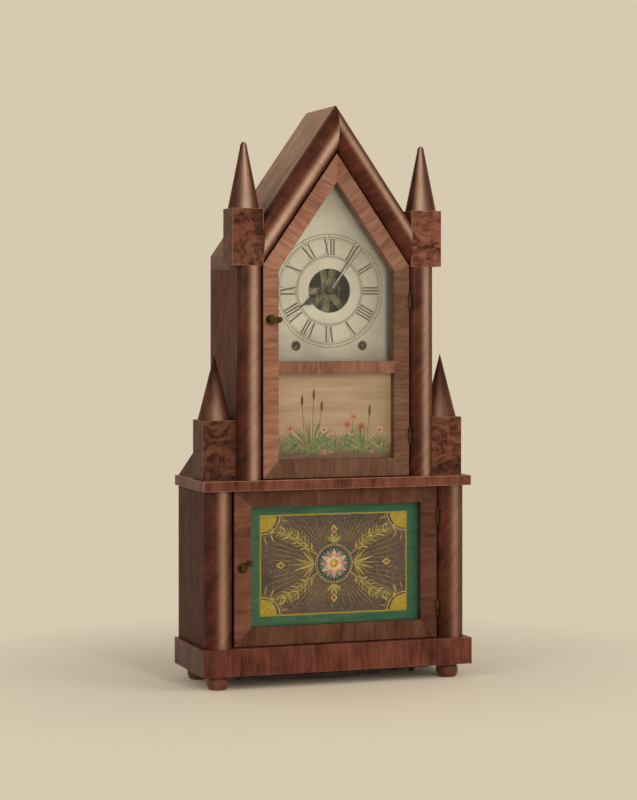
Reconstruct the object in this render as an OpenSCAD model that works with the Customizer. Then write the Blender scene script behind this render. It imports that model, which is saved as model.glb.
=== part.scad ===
// Twin-steeple shelf clock with a leaf-spring drive.
// Millimetres. +Z is up, -Y is the front, and the origin is under the middle of the plinth.

/* [Base] */
// Width of the plinth
plinth_w = 343; // [336:1:380]
// Depth of the plinth, which is the deepest part of the clock
plinth_depth = 126; // [124:0.5:150]
// Height of the plinth rails
plinth_h = 32; // [28:0.5:40]
// Thickness of the plinth rails
rail_t = 17; // [14:0.5:20]
// Height of the turned feet
foot_h = 17.4; // [15:0.1:24]
// Diameter of the turned feet
foot_d = 27.4; // [24:0.1:30]
// Distance of each foot from the sides of the plinth
foot_inset = 24; // [20:0.5:30]
// Distance of each foot from the front and back of the plinth
foot_set = 22; // [18:0.5:28]
// Radius of the dowel on each foot
dowel_r = 4.5; // [3:0.1:5]
// Side of the square corner blocks that take the dowels
corner_block = 30; // [26:1:36]
// Thickness of the floor board
floor_t = 10; // [8:0.5:12]

/* [Case] */
// How far the plinth stands out past each side of the lower case
plinth_reveal = 4.9; // [3.5:0.1:8.5]
// Height of the lower case
lower_h = 187; // [180:0.5:210]
// How far the shelf between the tiers stands out past each side of the lower case
shelf_reveal = 4.6; // [1:0.1:12]
// Thickness of that shelf
shelf_t = 12.2; // [10:0.1:16]
// How far the shelf's front edge lies behind the plinth's
shelf_set = 1.4; // [0:0.1:2]
// Width across the upper case
upper_w = 251.2; // [244:0.2:258]
// Height of the gable's peak over the shelf
peak_h = 450.4; // [440:0.5:470]
// Pitch of the gable in degrees
pitch = 55.3; // [54:0.1:57]
// Distance from the back of the case to the face of its stiles
face_depth = 107; // [105:0.5:110]
// Thickness of the side boards
side_t = 12; // [9:0.5:13]
// Thickness of the stiles and gable rails behind the columns
stile_t = 12; // [8:0.5:13]
// Thickness of the backboards
back_t = 8; // [6:0.5:9]
// Thickness of the roof and shoulder boards
roof_t = 10; // [7:0.5:12]

/* [Ornament] */
// How far the half columns stand out from the stiles
column_rise = 15.4; // [12:0.1:15.4]
// Width of the half-round gable moulding
moulding_w = 32.2; // [30:0.2:34]
// Width and depth of the upper steeple blocks
upper_block = 39; // [36:0.5:42]
// Height of the upper steeple blocks
upper_block_h = 68.5; // [64:0.5:76]
// How far the upper steeple blocks stand out from the stiles
upper_block_proud = 12.7; // [8:0.1:15]
// Height of the lower steeple blocks
lower_block_h = 71.2; // [66:0.2:80]
// How far the lower steeple blocks lie behind the stiles' face
lower_block_set = 2; // [0:0.5:6]
// Height of the upper spires
upper_spire_h = 80; // [70:1:95]
// Height of the lower spires
lower_spire_h = 78; // [70:1:95]
// Rim left on a block round its spire
spire_rim = 0.6; // [0.2:0.1:3]
// Radius of the blunt end of the upper spires
spire_tip_r = 4.3; // [3:0.1:5]

/* [Doors] */
// Thickness of both doors
door_t = 16; // [14:0.5:18]
// How far the doors stand proud of the stiles
door_proud = 7; // [6.5:0.1:8]
// Running gap round each door
door_gap = 1.1; // [1:0.05:1.4]
// Width of the upper case's columns, beside the upper door
upper_column_w = 31; // [29.5:0.1:34]
// Width of the upper door's stiles and gable members
upper_member = 19.3; // [17:0.1:22]
// Height of the upper door's bottom rail
upper_bottom_rail = 21.4; // [18:0.1:24]
// Height of the painted tablet's opening in the upper door
upper_tablet_h = 103.6; // [96:0.2:112]
// Height of the rail between the tablet and the dial glass
mid_rail = 14.8; // [13:0.2:18]
// Width of the lower case's columns, beside the lower door
lower_column_w = 35.8; // [33:0.1:40]
// Width of the lower door's stiles
lower_member = 20.9; // [18:0.1:24]
// Height of the lower door's bottom rail
lower_bottom_rail = 21.8; // [18:0.1:24]
// Height of the lower door's top rail
lower_top_rail = 19; // [16:0.1:22]
// Thickness of the glasses
glass_t = 2; // [1.6:0.1:2.5]
// Depth of the rebate that holds each glass
rebate = 5; // [4:0.1:6]
// How far the glass reaches under the frame
glass_lap = 4; // [3:0.1:5]

/* [Hinges and latches] */
// Outer radius of the hinge knuckles
knuckle_r = 1.6; // [1.5:0.05:1.8]
// Radius of the hinge pins
pin_r = 0.8; // [0.7:0.05:0.9]
// Height of each hinge
hinge_h = 19; // [16:0.5:24]
// Thickness of the hinge leaves
leaf_t = 0.45; // [0.4:0.01:0.45]
// Radius of the round latch plates
rose_r = 6.6; // [6:0.1:7.5]
// Length of the latch handles from their spindle
handle_l = 13; // [11:0.5:15]
// Radius of the latch spindles
spindle_r = 1.6; // [1.3:0.1:2]
// Angle of the lower latch handle at rest
lower_handle_angle = 35; // [25:1:45]

/* [Dial and hands] */
// Height of the hands' arbor over the shelf
hub_h = 226.4; // [223:0.2:228]
// Distance of the dial's back from the back of the case
dial_depth = 84.5; // [84:0.1:86]
// Thickness of the dial plate
dial_t = 1; // [0.8:0.1:1.5]
// Radius of the hole in the middle of the dial
dial_hole_r = 27; // [24:0.5:29]
// Radius of the winding holes
winding_hole_r = 4.7; // [4:0.1:5.5]
// Length of the minute hand
minute_l = 66; // [60:0.5:67]
// Length of the hour hand
hour_l = 44; // [38:0.5:48]
// Angle of the minute hand clockwise from twelve
minute_angle = 36; // [0:1:359]
// Angle of the hour hand clockwise from twelve
hour_angle = 243; // [0:1:359]

/* [Movement] */
// Distance of the back plate from the back of the case
plate_depth = 40; // [39:0.5:41]
// Thickness of the brass plates
plate_t = 2; // [1.6:0.1:2.2]
// Clear distance between the plates
plate_gap = 30; // [29.5:0.5:31]
// Half distance between the winding arbors
arbor_x = 43; // [42:0.5:44]
// How far the winding arbors lie below the hands
arbor_drop = 67; // [66:0.5:68]
// Radius of the train's pivots
pivot_r = 1.2; // [1:0.1:1.4]
// Radius of the winding arbors
winding_r = 2.2; // [2:0.1:2.4]
// Radial clearance of a shaft in its bore
fit = 0.05; // [0.02:0.01:0.08]
// Teeth on both great wheels
great_teeth = 80; // [80:1:80]
// Teeth on the second wheel and on the centre wheel
second_teeth = 72; // [72:1:72]
// Teeth on the third wheel
third_teeth = 64; // [64:1:64]
// Teeth on the escape wheel
escape_teeth = 40; // [36:1:44]
// Leaves on the train's pinions
leaves = 7; // [7:1:7]
// Leaves on the centre pinion
centre_leaves = 8; // [8:1:8]
// Teeth on the strike pin wheel
pin_teeth = 60; // [60:1:60]
// Tip radius of the escape wheel
escape_r = 14; // [12:0.5:14.5]
// Drop from the pendulum's suspension to the middle of its bob
pendulum_l = 228; // [222:1:234]
// Radius of the pendulum bob
bob_r = 21; // [17:0.5:24]

/* [Spring and levers] */
// Radius at which the chains wind on their drums
drum_r = 8; // [7.5:0.1:8.4]
// Radius of the chains
chain_r = 1; // [0.8:0.1:1.2]
// Distance of the spring, levers and chains from the back of the case
spring_depth = 61; // [60:0.5:62]
// Width of the spring leaves
spring_w = 30; // [26:0.5:32]
// Thickness of a spring leaf
spring_leaf_t = 1.4; // [1.2:0.05:1.5]
// Number of spring leaves
spring_leaves = 4; // [3:1:4]
// How far the main leaf reaches past the links
leaf_past_link = 4.8; // [3:0.1:7]
// Height of the main leaf's upper face over the ground
spring_top = 7.8; // [7.4:0.1:9]
// Height of the lever pivots over the floor board
lever_h = 95.6; // [92:0.2:97]
// Distance of the lever pivots from the sides of the lower case
lever_inset = 33.6; // [33:0.1:35]
// Distance from a lever's pivot to its link pin
link_arm = 24; // [23:0.5:25]
// Travel of the levers in degrees
lever_travel = 60; // [50:1:60]
// Thickness of the levers
lever_t = 8; // [6:0.5:9]
// Radius of the lever pivots
lever_pin_r = 4; // [3:0.1:5]
// Radius of the link wires
link_r = 1.2; // [1:0.1:1.4]

/* [Gong and hammer] */
// Height of the gong's middle over the shelf
gong_h = 58; // [54:1:62]
// Radius of the gong's outer turn
gong_r = 38; // [34:1:40]
// Number of turns of the gong
gong_turns = 3; // [2:1:3]
// Radius of the gong wire
gong_wire = 1.2; // [1:0.1:1.5]

/* [Hidden] */
$fn = 96;

// Heights of the tiers
floor_top = foot_h + plinth_h;
shelf_z = floor_top + lower_h;
shelf_top = shelf_z + shelf_t;
peak_z = shelf_top + peak_h;
hub_z = shelf_top + hub_h;
// Half widths of the tiers and doors
plinth_x = plinth_w / 2;
lower_x = plinth_x - plinth_reveal;
shelf_x = lower_x + shelf_reveal;
upper_x = upper_w / 2;
lower_jamb = lower_x - lower_column_w;
upper_jamb = upper_x - upper_column_w;
lower_door_x = lower_jamb - door_gap;
upper_door_x = upper_jamb - door_gap;
// Depths of the doors
door_front = face_depth + door_proud;
door_back = door_front - door_t;
// The roof's underside and the gable's opening meet the middle at these heights
function roof_z(x, inset) = peak_z - inset / cos(pitch) - tan(pitch) * x;
door_inset = moulding_w + door_gap;
eave_z = roof_z(upper_door_x, door_inset) - door_gap;
// Doors from bottom to top
upper_door_z = shelf_top + door_gap;
lower_door_z = floor_top + door_gap;
lower_door_top = shelf_z - door_gap;
tablet_z = upper_door_z + upper_bottom_rail;
mid_rail_z = tablet_z + upper_tablet_h;
dial_glass_z = mid_rail_z + mid_rail;
glass_x = upper_door_x - upper_member;
lower_glass_x = lower_door_x - lower_member;
lower_tablet_z = lower_door_z + lower_bottom_rail;
lower_tablet_top = lower_door_top - lower_top_rail;
glass_front = door_back + rebate;
// Hinge axes lie just in front of the doors, in the middle of the gap
hinge_clear = 0.1;
hinge_depth = door_front + knuckle_r + hinge_clear;
upper_hinge_x = upper_door_x + door_gap / 2;
lower_hinge_x = lower_door_x + door_gap / 2;
hinge_inset = 38;
upper_hinge_h = 50;
hinge_spread = 164;
upper_hinges = [shelf_top + upper_hinge_h, shelf_top + upper_hinge_h + hinge_spread];
lower_hinges = [floor_top + hinge_inset, shelf_z - hinge_inset];
// Plates of the movement
front_plate_depth = plate_depth + plate_t + plate_gap;
front_plate_face = front_plate_depth + plate_t;
// Sizes of the teeth
great_m = 1;
second_m = 0.95;
centre_m = 0.7;
third_m = 0.6;
pin_m = 0.8;
motion_m = 0.5;
motion_teeth = [10, 30, 8, 32];
motion_stud_r = 0.8;
// Arbor places in the X-Z plane
centre_at = [0, hub_z];
great_at = [arbor_x, hub_z - arbor_drop];
function mesh(m, a, b) = m * (a + b) / 2;
// Where two circles about a and b cross, on the right of the line from a to b
function cross_at(a, ra, b, rb) =
    let (d = norm(b - a), u = (b - a) / d, s = (ra * ra - rb * rb + d * d) / (2 * d))
    a + u * s + [u[1], -u[0]] * sqrt(ra * ra - s * s);
second_at = cross_at(great_at, mesh(great_m, great_teeth, leaves),
                     centre_at, mesh(second_m, second_teeth, centre_leaves));
third_at = centre_at + mesh(centre_m, second_teeth, leaves) * [cos(70), sin(70)];
escape_x = -8;
escape_at = [escape_x, third_at[1]
    + sqrt(pow(mesh(third_m, third_teeth, leaves), 2) - pow(third_at[0] - escape_x, 2))];
verge_rise = 22;
verge_at = escape_at + [0, verge_rise];
suspension_rise = 10;
pendulum_at = verge_at + [0, suspension_rise];
crutch_l = 25;
strike_at = [-arbor_x, great_at[1]];
pin_at = [-second_at[0], second_at[1]];
fly_at = pin_at + mesh(pin_m, pin_teeth, leaves) * [cos(112), sin(112)];
motion_at = centre_at + mesh(motion_m, motion_teeth[0], motion_teeth[1]) * [cos(60), sin(60)];
hammer_side = 19;
hammer_rise = 44;
hammer_at = strike_at + [-hammer_side, hammer_rise];
pin_ring = pin_m * pin_teeth / 2 - 2.2;
// Layers of the wheels, measured from the back of the case
great_layer = [45, 47.4];
second_layer = [48.4, 49.6];
pin_layer = [51, 52.2];
centre_layer = [54, 55.4];
third_layer = [60, 61.2];
escape_layer = [66, 67.2];
minute_layer = [75, 76.2];
hour_layer = [77.4, 78.6];
pendulum_layer = [80.6, 81.4];
// Levers and spring
lever_z = floor_top + lever_h;
lever_x = lower_x - lever_inset;
chain_x = arbor_x + drum_r;
rim_r = lever_x - chain_x;
lever_start = 180 + lever_travel;
link_start = 180 + lever_travel / 2;
link_pin = [lever_x + link_arm * cos(link_start), lever_z + link_arm * sin(link_start)];
saddle_x = 20;
clear = 0.3;
glue = 0.05;
spring_half = link_pin[0] + leaf_past_link;
leaf_step = (spring_half - saddle_x - 1) / spring_leaves;
spring_bottom = spring_top - spring_leaves * spring_leaf_t;

function y_at(depth) = plinth_depth / 2 - depth;

// A profile drawn in X-Z and run from one depth to another, measured from the back
module at_depth(from, to) {
    translate([0, y_at(from), 0]) rotate([90, 0, 0]) linear_extrude(to - from) children();
}

module both_sides() {
    children();
    mirror([1, 0, 0]) children();
}

module rod(at, r, from, to) {
    at_depth(from, to) translate(at) circle(r);
}

// A rectangle between two corners
module span(a, b) {
    translate(a) square(b - a);
}

// A flat strip with round ends
module strip(a, b, w) {
    d = b - a;
    translate(a) rotate(atan2(d[1], d[0])) translate([0, -w / 2]) square([norm(d), w]);
    translate(a) circle(w / 2);
    translate(b) circle(w / 2);
}

// The glue line between two members that meet from corner a to corner b
module mitre(a, b) {
    d = b - a;
    translate(a) rotate(atan2(d[1], d[0])) translate([-1, -glue / 2]) square([norm(d) + 2, glue]);
}

// The band that follows the right-hand gable between two insets from the roof line
function gable_band(near, far, reach) = [
    [glue / 2, roof_z(glue / 2, near)], [glue / 2, roof_z(glue / 2, far)],
    [reach, roof_z(reach, far)], [reach, roof_z(reach, near)]
];

// Case: four mitred plinth rails, and the corner blocks glued in their corners
module plinth_rails() {
    corner = [plinth_x, plinth_depth / 2];
    color("#6b3322") translate([0, 0, foot_h]) linear_extrude(plinth_h) difference() {
        square(2 * corner, center = true);
        square(2 * (corner - [rail_t, rail_t]), center = true);
        for (sx = [-1, 1], sy = [-1, 1])
            mitre([sx * corner[0], sy * corner[1]],
                  [sx * (corner[0] - rail_t), sy * (corner[1] - rail_t)]);
    }
    color("#b08a5a") for (sx = [-1, 1], sy = [-1, 1]) difference() {
        translate([sx * (corner[0] - rail_t - glue - corner_block / 2),
                   sy * (corner[1] - rail_t - glue - corner_block / 2),
                   foot_h + (plinth_h - floor_t) / 2])
            cube([corner_block, corner_block, plinth_h - floor_t], center = true);
        translate([sx * (plinth_x - foot_inset), sy * (plinth_depth / 2 - foot_set), 0])
            cylinder(r = dowel_r + fit, h = foot_h + dowel_l() + fit);
    }
}

function dowel_l() = (plinth_h - floor_t) * 0.7;

module ball_feet() {
    color("#4a2418") for (sx = [-1, 1], sy = [-1, 1])
        translate([sx * (plinth_x - foot_inset), sy * (plinth_depth / 2 - foot_set), 0]) {
            intersection() {
                translate([0, 0, foot_h / 2]) sphere(d = foot_d);
                cylinder(d = foot_d + 2, h = foot_h);
            }
            translate([0, 0, foot_h - 1]) cylinder(r = dowel_r, h = dowel_l() + 1);
        }
}

module floor_board() {
    color("#b08a5a") difference() {
        translate([rail_t - plinth_x, rail_t - plinth_depth / 2, floor_top - floor_t])
            cube([plinth_w - 2 * rail_t, plinth_depth - 2 * rail_t, floor_t]);
        // Slots for the two links, and the hole for the spring bolt
        both_sides() translate([link_pin[0] - link_slot() / 2,
                                y_at(spring_depth) - spring_w / 2 - link_slot() / 2, 0])
            cube([link_slot(), spring_w + link_slot(), floor_top + 1]);
        translate([0, y_at(spring_depth), 0]) cylinder(r = bolt_r + fit, h = floor_top + 1);
    }
}

// Room for a link as it sways
function link_slot() = 2 * (link_arm * (1 - cos(lever_travel / 2)) + link_r + 1.5);

module lower_sides() {
    color("#6a4c36") both_sides() at_depth(0, face_depth)
        span([lower_x - side_t, floor_top], [lower_x, shelf_z]);
}

// One board behind each tier
module backboards() {
    inner = upper_x - side_t;
    color("#8a6a48") at_depth(0, back_t) {
        span([side_t - lower_x, floor_top], [lower_x - side_t, shelf_z]);
        polygon([
            [-inner, shelf_top], [inner, shelf_top], [inner, roof_z(inner, roof_t)],
            [0, roof_z(0, roof_t)], [-inner, roof_z(inner, roof_t)]]);
    }
}

// Four stiles behind the columns and two gable rails behind the moulding
module face_frame() {
    color("#6b3322") both_sides() {
        at_depth(face_depth - stile_t, face_depth)
            span([lower_jamb, floor_top], [lower_x - side_t, shelf_z]);
        at_depth(face_depth - stile_t, face_depth)
            span([upper_jamb, shelf_top], [upper_x - side_t, eave_z]);
        at_depth(face_depth - stile_t, face_depth)
            polygon(gable_band(roof_t, moulding_w, upper_jamb));
    }
}

// A half-round post whose flat back lies on the stiles
module half_column(x0, x1, z0, z1) {
    half = (x1 - x0) / 2;
    r = (half * half + column_rise * column_rise) / (2 * column_rise);
    intersection() {
        translate([(x0 + x1) / 2, y_at(face_depth + column_rise - r), z0]) cylinder(r = r, h = z1 - z0);
        at_depth(face_depth, face_depth + column_rise + 1) span([x0, z0], [x1, z1]);
    }
}

module lower_columns() {
    color("#4a2418") both_sides() half_column(lower_jamb, lower_x, floor_top, shelf_z);
}

module upper_columns() {
    color("#4a2418") both_sides() half_column(upper_jamb, upper_x, shelf_top, eave_z);
}

module waist_shelf() {
    color("#5a2c1c") difference() {
        at_depth(0, plinth_depth - shelf_set) span([-shelf_x, shelf_z], [shelf_x, shelf_top]);
        // Slots for the two chains
        both_sides() at_depth(spring_depth - 5, spring_depth + 5)
            span([chain_x - 5, shelf_z - 1], [chain_x + 5, shelf_top + 1]);
    }
}

module shoulder_boards() {
    rise = (lower_x - upper_x) * tan(pitch);
    drop = roof_t / cos(pitch);
    color("#5a2c1c") both_sides()
        at_depth(0, face_depth - lower_block_set - lower_block())
            polygon([[lower_x, shelf_top], [upper_x, shelf_top + rise],
                     [upper_x, shelf_top + rise - drop], [lower_x - drop / tan(pitch), shelf_top]]);
}

function lower_block() = lower_x - upper_x;

module upper_block_box() {
    at_depth(face_depth + upper_block_proud - upper_block, face_depth + upper_block_proud)
        span([upper_jamb, eave_z], [upper_jamb + upper_block, eave_z + upper_block_h]);
}

module steeple_blocks() {
    color("#7a4228") both_sides() {
        upper_block_box();
        at_depth(face_depth - lower_block_set - lower_block(), face_depth - lower_block_set)
            span([upper_x, shelf_top], [lower_x, shelf_top + lower_block_h]);
    }
}

// Two tapered spires with blunt tips over the gable, and two sharp ones on the shoulders
module spires() {
    base = upper_block / 2 - spire_rim;
    neck = upper_spire_h - 1.6 * spire_tip_r;
    color("#4a2418") both_sides() {
        translate([upper_jamb + upper_block / 2,
                   y_at(face_depth + upper_block_proud - upper_block / 2), eave_z + upper_block_h])
            rotate_extrude() polygon(concat([[0, 0], [base, 0]],
                [for (k = [0:5]) [spire_tip_r * cos(18 * k), neck + 1.6 * spire_tip_r * sin(18 * k)]]));
        translate([upper_x + lower_block() / 2,
                   y_at(face_depth - lower_block_set - lower_block() / 2), shelf_top + lower_block_h])
            cylinder(r1 = lower_block() / 2 - spire_rim, r2 = 0, h = lower_spire_h);
    }
}

module upper_sides() {
    color("#6a4c36") both_sides() difference() {
        at_depth(0, face_depth) polygon([
            [upper_x - side_t, shelf_top], [upper_x, shelf_top],
            [upper_x, roof_z(upper_x, roof_t)], [upper_x - side_t, roof_z(upper_x - side_t, roof_t)]]);
        upper_block_box();
    }
}

module roof_boards() {
    color("#5a2c1c") both_sides() difference() {
        at_depth(0, face_depth) polygon(gable_band(0, roof_t, upper_x));
        upper_block_box();
    }
}

// Half-round mouldings, mitred at the peak and stopped by the blocks
module gable_mouldings() {
    r = moulding_w / 2;
    color("#5a2c1c") both_sides() intersection() {
        translate([0, y_at(face_depth), roof_z(0, r)]) rotate([0, pitch + 90, 0])
            cylinder(r = r, h = 2 * peak_h, center = true);
        at_depth(face_depth, face_depth + r + 1) polygon(gable_band(0, moulding_w, upper_jamb));
    }
}

// Strips inside the case that carry the dial
dial_x = upper_x - side_t - 6;
dial_bottom = mid_rail_z + 3;
module dial_rails() {
    color("#b08a5a") both_sides() at_depth(dial_depth - 12, dial_depth)
        span([dial_x - 6, dial_bottom - 6], [upper_x - side_t, eave_z - 20]);
}

// The dial's outline, as its corners on the right and left
dial_gap = 24;
module dial_outline() {
    top = roof_z(0, roof_t + dial_gap);
    side_top = roof_z(dial_x, roof_t + dial_gap);
    polygon([[-dial_x, dial_bottom], [dial_x, dial_bottom], [dial_x, side_top],
             [0, top], [-dial_x, side_top]]);
}

module dial_plate() {
    color("#c2b89c") at_depth(dial_depth, dial_depth + dial_t) difference() {
        dial_outline();
        translate(centre_at) circle(dial_hole_r);
        translate(great_at) circle(winding_hole_r);
        translate(strike_at) circle(winding_hole_r);
    }
}

// Doors
module upper_door_outline() {
    polygon([[-upper_door_x, upper_door_z], [upper_door_x, upper_door_z],
             [upper_door_x, roof_z(upper_door_x, door_inset)], [0, roof_z(0, door_inset)],
             [-upper_door_x, roof_z(upper_door_x, door_inset)]]);
}

// The opening for the dial glass, grown by a lap all round
module dial_opening(lap) {
    x = glass_x + lap;
    inset = door_inset + upper_member - lap;
    polygon([[-x, dial_glass_z - lap], [x, dial_glass_z - lap],
             [x, roof_z(x, inset)], [0, roof_z(0, inset)], [-x, roof_z(x, inset)]]);
}

module tablet_opening(lap) {
    span([-glass_x - lap, tablet_z - lap], [glass_x + lap, mid_rail_z + lap]);
}

module lower_opening(lap) {
    span([-lower_glass_x - lap, lower_tablet_z - lap], [lower_glass_x + lap, lower_tablet_top + lap]);
}

// Cuts the glass rebates and the spindle holes out of a door's frame
module rebated() {
    difference() {
        children();
        at_depth(door_back - 1, glass_front) dial_opening(glass_lap + clear);
        at_depth(door_back - 1, glass_front) tablet_opening(glass_lap + clear);
        at_depth(door_back - 1, glass_front) lower_opening(glass_lap + clear);
        rod(upper_latch_at, spindle_r + fit, door_back - 1, door_front + 1);
        rod(lower_latch_at, spindle_r + fit, door_back - 1, door_front + 1);
    }
}

// Six members: two stiles, two gable members, the bottom rail and the rail under the dial glass
module upper_door_frame() {
    eave_in = roof_z(glass_x, door_inset + upper_member);
    eave_out = roof_z(upper_door_x, door_inset);
    color("#8a4e38") rebated() at_depth(door_back, door_front) difference() {
        upper_door_outline();
        dial_opening(0);
        tablet_opening(0);
        both_sides() {
            mitre([upper_door_x, upper_door_z], [glass_x, tablet_z]);
            mitre([upper_door_x, eave_out], [glass_x, eave_in]);
            mitre([glass_x, mid_rail_z], [glass_x, dial_glass_z]);
        }
        mitre([0, roof_z(0, door_inset)], [0, roof_z(0, door_inset + upper_member)]);
    }
}

// Four mitred members
module lower_door_frame() {
    color("#8a4e38") rebated() at_depth(door_back, door_front) difference() {
        span([-lower_door_x, lower_door_z], [lower_door_x, lower_door_top]);
        lower_opening(0);
        both_sides() {
            mitre([lower_door_x, lower_door_z], [lower_glass_x, lower_tablet_z]);
            mitre([lower_door_x, lower_door_top], [lower_glass_x, lower_tablet_top]);
        }
    }
}

module dial_glass() {
    color("#dfe8e6", 0.3) at_depth(glass_front - glass_t, glass_front) dial_opening(glass_lap);
}

module upper_tablet() {
    color("#b98f5c") at_depth(glass_front - glass_t, glass_front) tablet_opening(glass_lap);
}

module lower_tablet() {
    color("#3f6f50") at_depth(glass_front - glass_t, glass_front) lower_opening(glass_lap);
}

// Hinges: the case half holds the pin and the outer knuckles, the door half the middle one
module knuckle(x, z0, z1, bored) {
    difference() {
        translate([x, y_at(hinge_depth), z0]) cylinder(r = knuckle_r, h = z1 - z0);
        if (bored) translate([x, y_at(hinge_depth), z0 - 1]) cylinder(r = pin_r + fit, h = z1 - z0 + 2);
    }
}

// A hinge leaf in the gap, from the middle of the door's edge forward to its knuckle
module hinge_leaf(x0, z0, z1) {
    at_depth(door_back + 3, hinge_depth - knuckle_r / 2) span([x0, z0], [x0 + leaf_t, z1]);
}

module case_hinge(x, jamb, z) {
    third = hinge_h / 3;
    difference() {
        union() {
            for (k = [-1, 1]) knuckle(x, z + k * third - third / 2, z + k * third + third / 2, false);
            for (k = [-1, 1])
                hinge_leaf(jamb - leaf_t, z + k * third - third / 2, z + k * third + third / 2);
            at_depth(door_back + 3, door_front - 2)
                span([jamb - leaf_t, z - hinge_h / 2], [jamb, z + hinge_h / 2]);
            translate([x, y_at(hinge_depth), z - hinge_h / 2]) cylinder(r = pin_r, h = hinge_h);
        }
    }
}

module case_hinge_leaves() {
    color("#a07a3a") {
        for (z = upper_hinges) case_hinge(upper_hinge_x, upper_jamb, z);
        for (z = lower_hinges) case_hinge(lower_hinge_x, lower_jamb, z);
    }
}

module door_hinge(x, edge, z) {
    half = hinge_h / 6 - fit;
    difference() {
        union() {
            knuckle(x, z - half, z + half, false);
            hinge_leaf(edge, z - half, z + half);
            at_depth(door_back + 3, door_front - 2)
                span([edge, z - hinge_h / 2], [edge + leaf_t, z + hinge_h / 2]);
        }
        translate([x, y_at(hinge_depth), z - hinge_h]) cylinder(r = pin_r + fit, h = 2 * hinge_h);
    }
}

module upper_door_hinge_leaves() {
    color("#a07a3a") for (z = upper_hinges) door_hinge(upper_hinge_x, upper_door_x, z);
}

module lower_door_hinge_leaves() {
    color("#a07a3a") for (z = lower_hinges) door_hinge(lower_hinge_x, lower_door_x, z);
}

// Latches: a round plate on the door, and a turn whose inner tongue slips behind the stile
upper_latch_at = [-(upper_door_x - upper_member / 2), mid_rail_z + 65];
lower_latch_at = [-(lower_door_x - lower_member / 2), lower_tablet_z + 72];
rose_t = 2;
handle_t = 2.4;
tongue_l = 15;
module latch_rose(at) {
    difference() {
        union() {
            rod(at, rose_r, door_front, door_front + rose_t / 2);
            rod(at, rose_r * 0.72, door_front, door_front + rose_t);
        }
        rod(at, spindle_r + fit, door_front - 1, door_front + rose_t + 1);
    }
}

module latch_turn(at, angle) {
    tip = at + handle_l * [cos(angle), sin(angle)];
    waist = at + handle_l / 2 * [cos(angle), sin(angle)];
    base = door_front + rose_t + 2 * fit;
    tongue_front = min(door_back, face_depth - stile_t) - 2 * clear;
    rod(at, spindle_r, tongue_front - 3, base + handle_t);
    rod(at, 3.6, base, base + handle_t + 1);
    at_depth(base, base + handle_t) {
        strip(at, waist, 3.4);
        translate(at + (handle_l - 3.6) * [cos(angle), sin(angle)]) circle(3.6);
    }
    at_depth(tongue_front - 3, tongue_front) strip(at, at + [0, tongue_l - 2.5], 5);
}

module upper_latch_rose() { color("#b08a3c") latch_rose(upper_latch_at); }
module lower_latch_rose() { color("#b08a3c") latch_rose(lower_latch_at); }
module upper_latch_turn() { color("#b08a3c") latch_turn(upper_latch_at, 0); }
module lower_latch_turn() { color("#b08a3c") latch_turn(lower_latch_at, lower_handle_angle); }

// Movement plates: pierced brass, with a boss at every pivot
plate_foot = great_at[1] - great_m * great_teeth / 2 + 1;
plate_top = pendulum_at[1] + 6;
plate_corner = 62;
pillar_at = [[plate_corner + 6, plate_foot], [-plate_corner - 6, plate_foot],
             [plate_corner - 8, plate_top], [8 - plate_corner, plate_top]];
train_at = [centre_at, second_at, third_at, escape_at, verge_at, pin_at, fly_at, hammer_at];

module plate_outline() {
    for (k = [-1, 1]) {
        strip([k * plate_corner, plate_foot], [k * (plate_corner - 8), plate_top], 11);
        strip([k * arbor_x, plate_foot], [k * arbor_x, great_at[1]], 12);
        strip([k * plate_corner, second_at[1]], [k * second_at[0], second_at[1]], 9);
        strip([k * second_at[0], second_at[1]], centre_at, 9);
    }
    strip([-plate_corner - 6, plate_foot], [plate_corner + 6, plate_foot], 12);
    strip([8 - plate_corner, plate_top], [plate_corner - 8, plate_top], 11);
    strip([0, plate_foot], centre_at, 8);
    strip(centre_at, third_at, 9);
    strip(centre_at, fly_at, 9);
    strip(centre_at, escape_at, 8);
    strip(escape_at, [escape_x, plate_top], 9);
    strip(fly_at, [4 - plate_corner, fly_at[1]], 8);
    strip([third_at[0], third_at[1]], [plate_corner - 6, third_at[1] + 6], 8);
    strip(hammer_at, [-plate_corner + 2, hammer_at[1]], 9);
    for (p = train_at) translate(p) circle(5.5);
    for (p = [great_at, strike_at]) translate(p) circle(7.5);
}

module plate_bores() {
    for (p = train_at) translate(p) circle(pivot_r + fit);
    for (p = [great_at, strike_at]) translate(p) circle(winding_r + fit);
}

// The back plate with its riveted pillars and the four posts that hold it to the backboard
module back_plate() {
    color("#b5893f") difference() {
        union() {
            at_depth(plate_depth, plate_depth + plate_t) plate_outline();
            for (p = pillar_at) {
                rod(p, 4, back_t, plate_depth + 1);
                rod(p, 3.2, plate_depth + 1, front_plate_depth);
                rod(p, 1.8, front_plate_depth - 1, front_plate_face + 1.5);
            }
        }
        at_depth(plate_depth - 1, plate_depth + plate_t + 1) plate_bores();
    }
}

// The front plate with the cock that the pendulum hangs from
module front_plate() {
    color("#b5893f") {
        at_depth(front_plate_depth, front_plate_face) difference() {
            plate_outline();
            plate_bores();
            for (p = pillar_at) translate(p) circle(1.8 + fit);
        }
        rod(motion_at, motion_stud_r, front_plate_depth, hour_layer[1] + 1.2);
        rod(pendulum_at + [0, 2.4 + clear], 2.4, front_plate_face - 1, pendulum_layer[1] + 1);
    }
}

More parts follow.
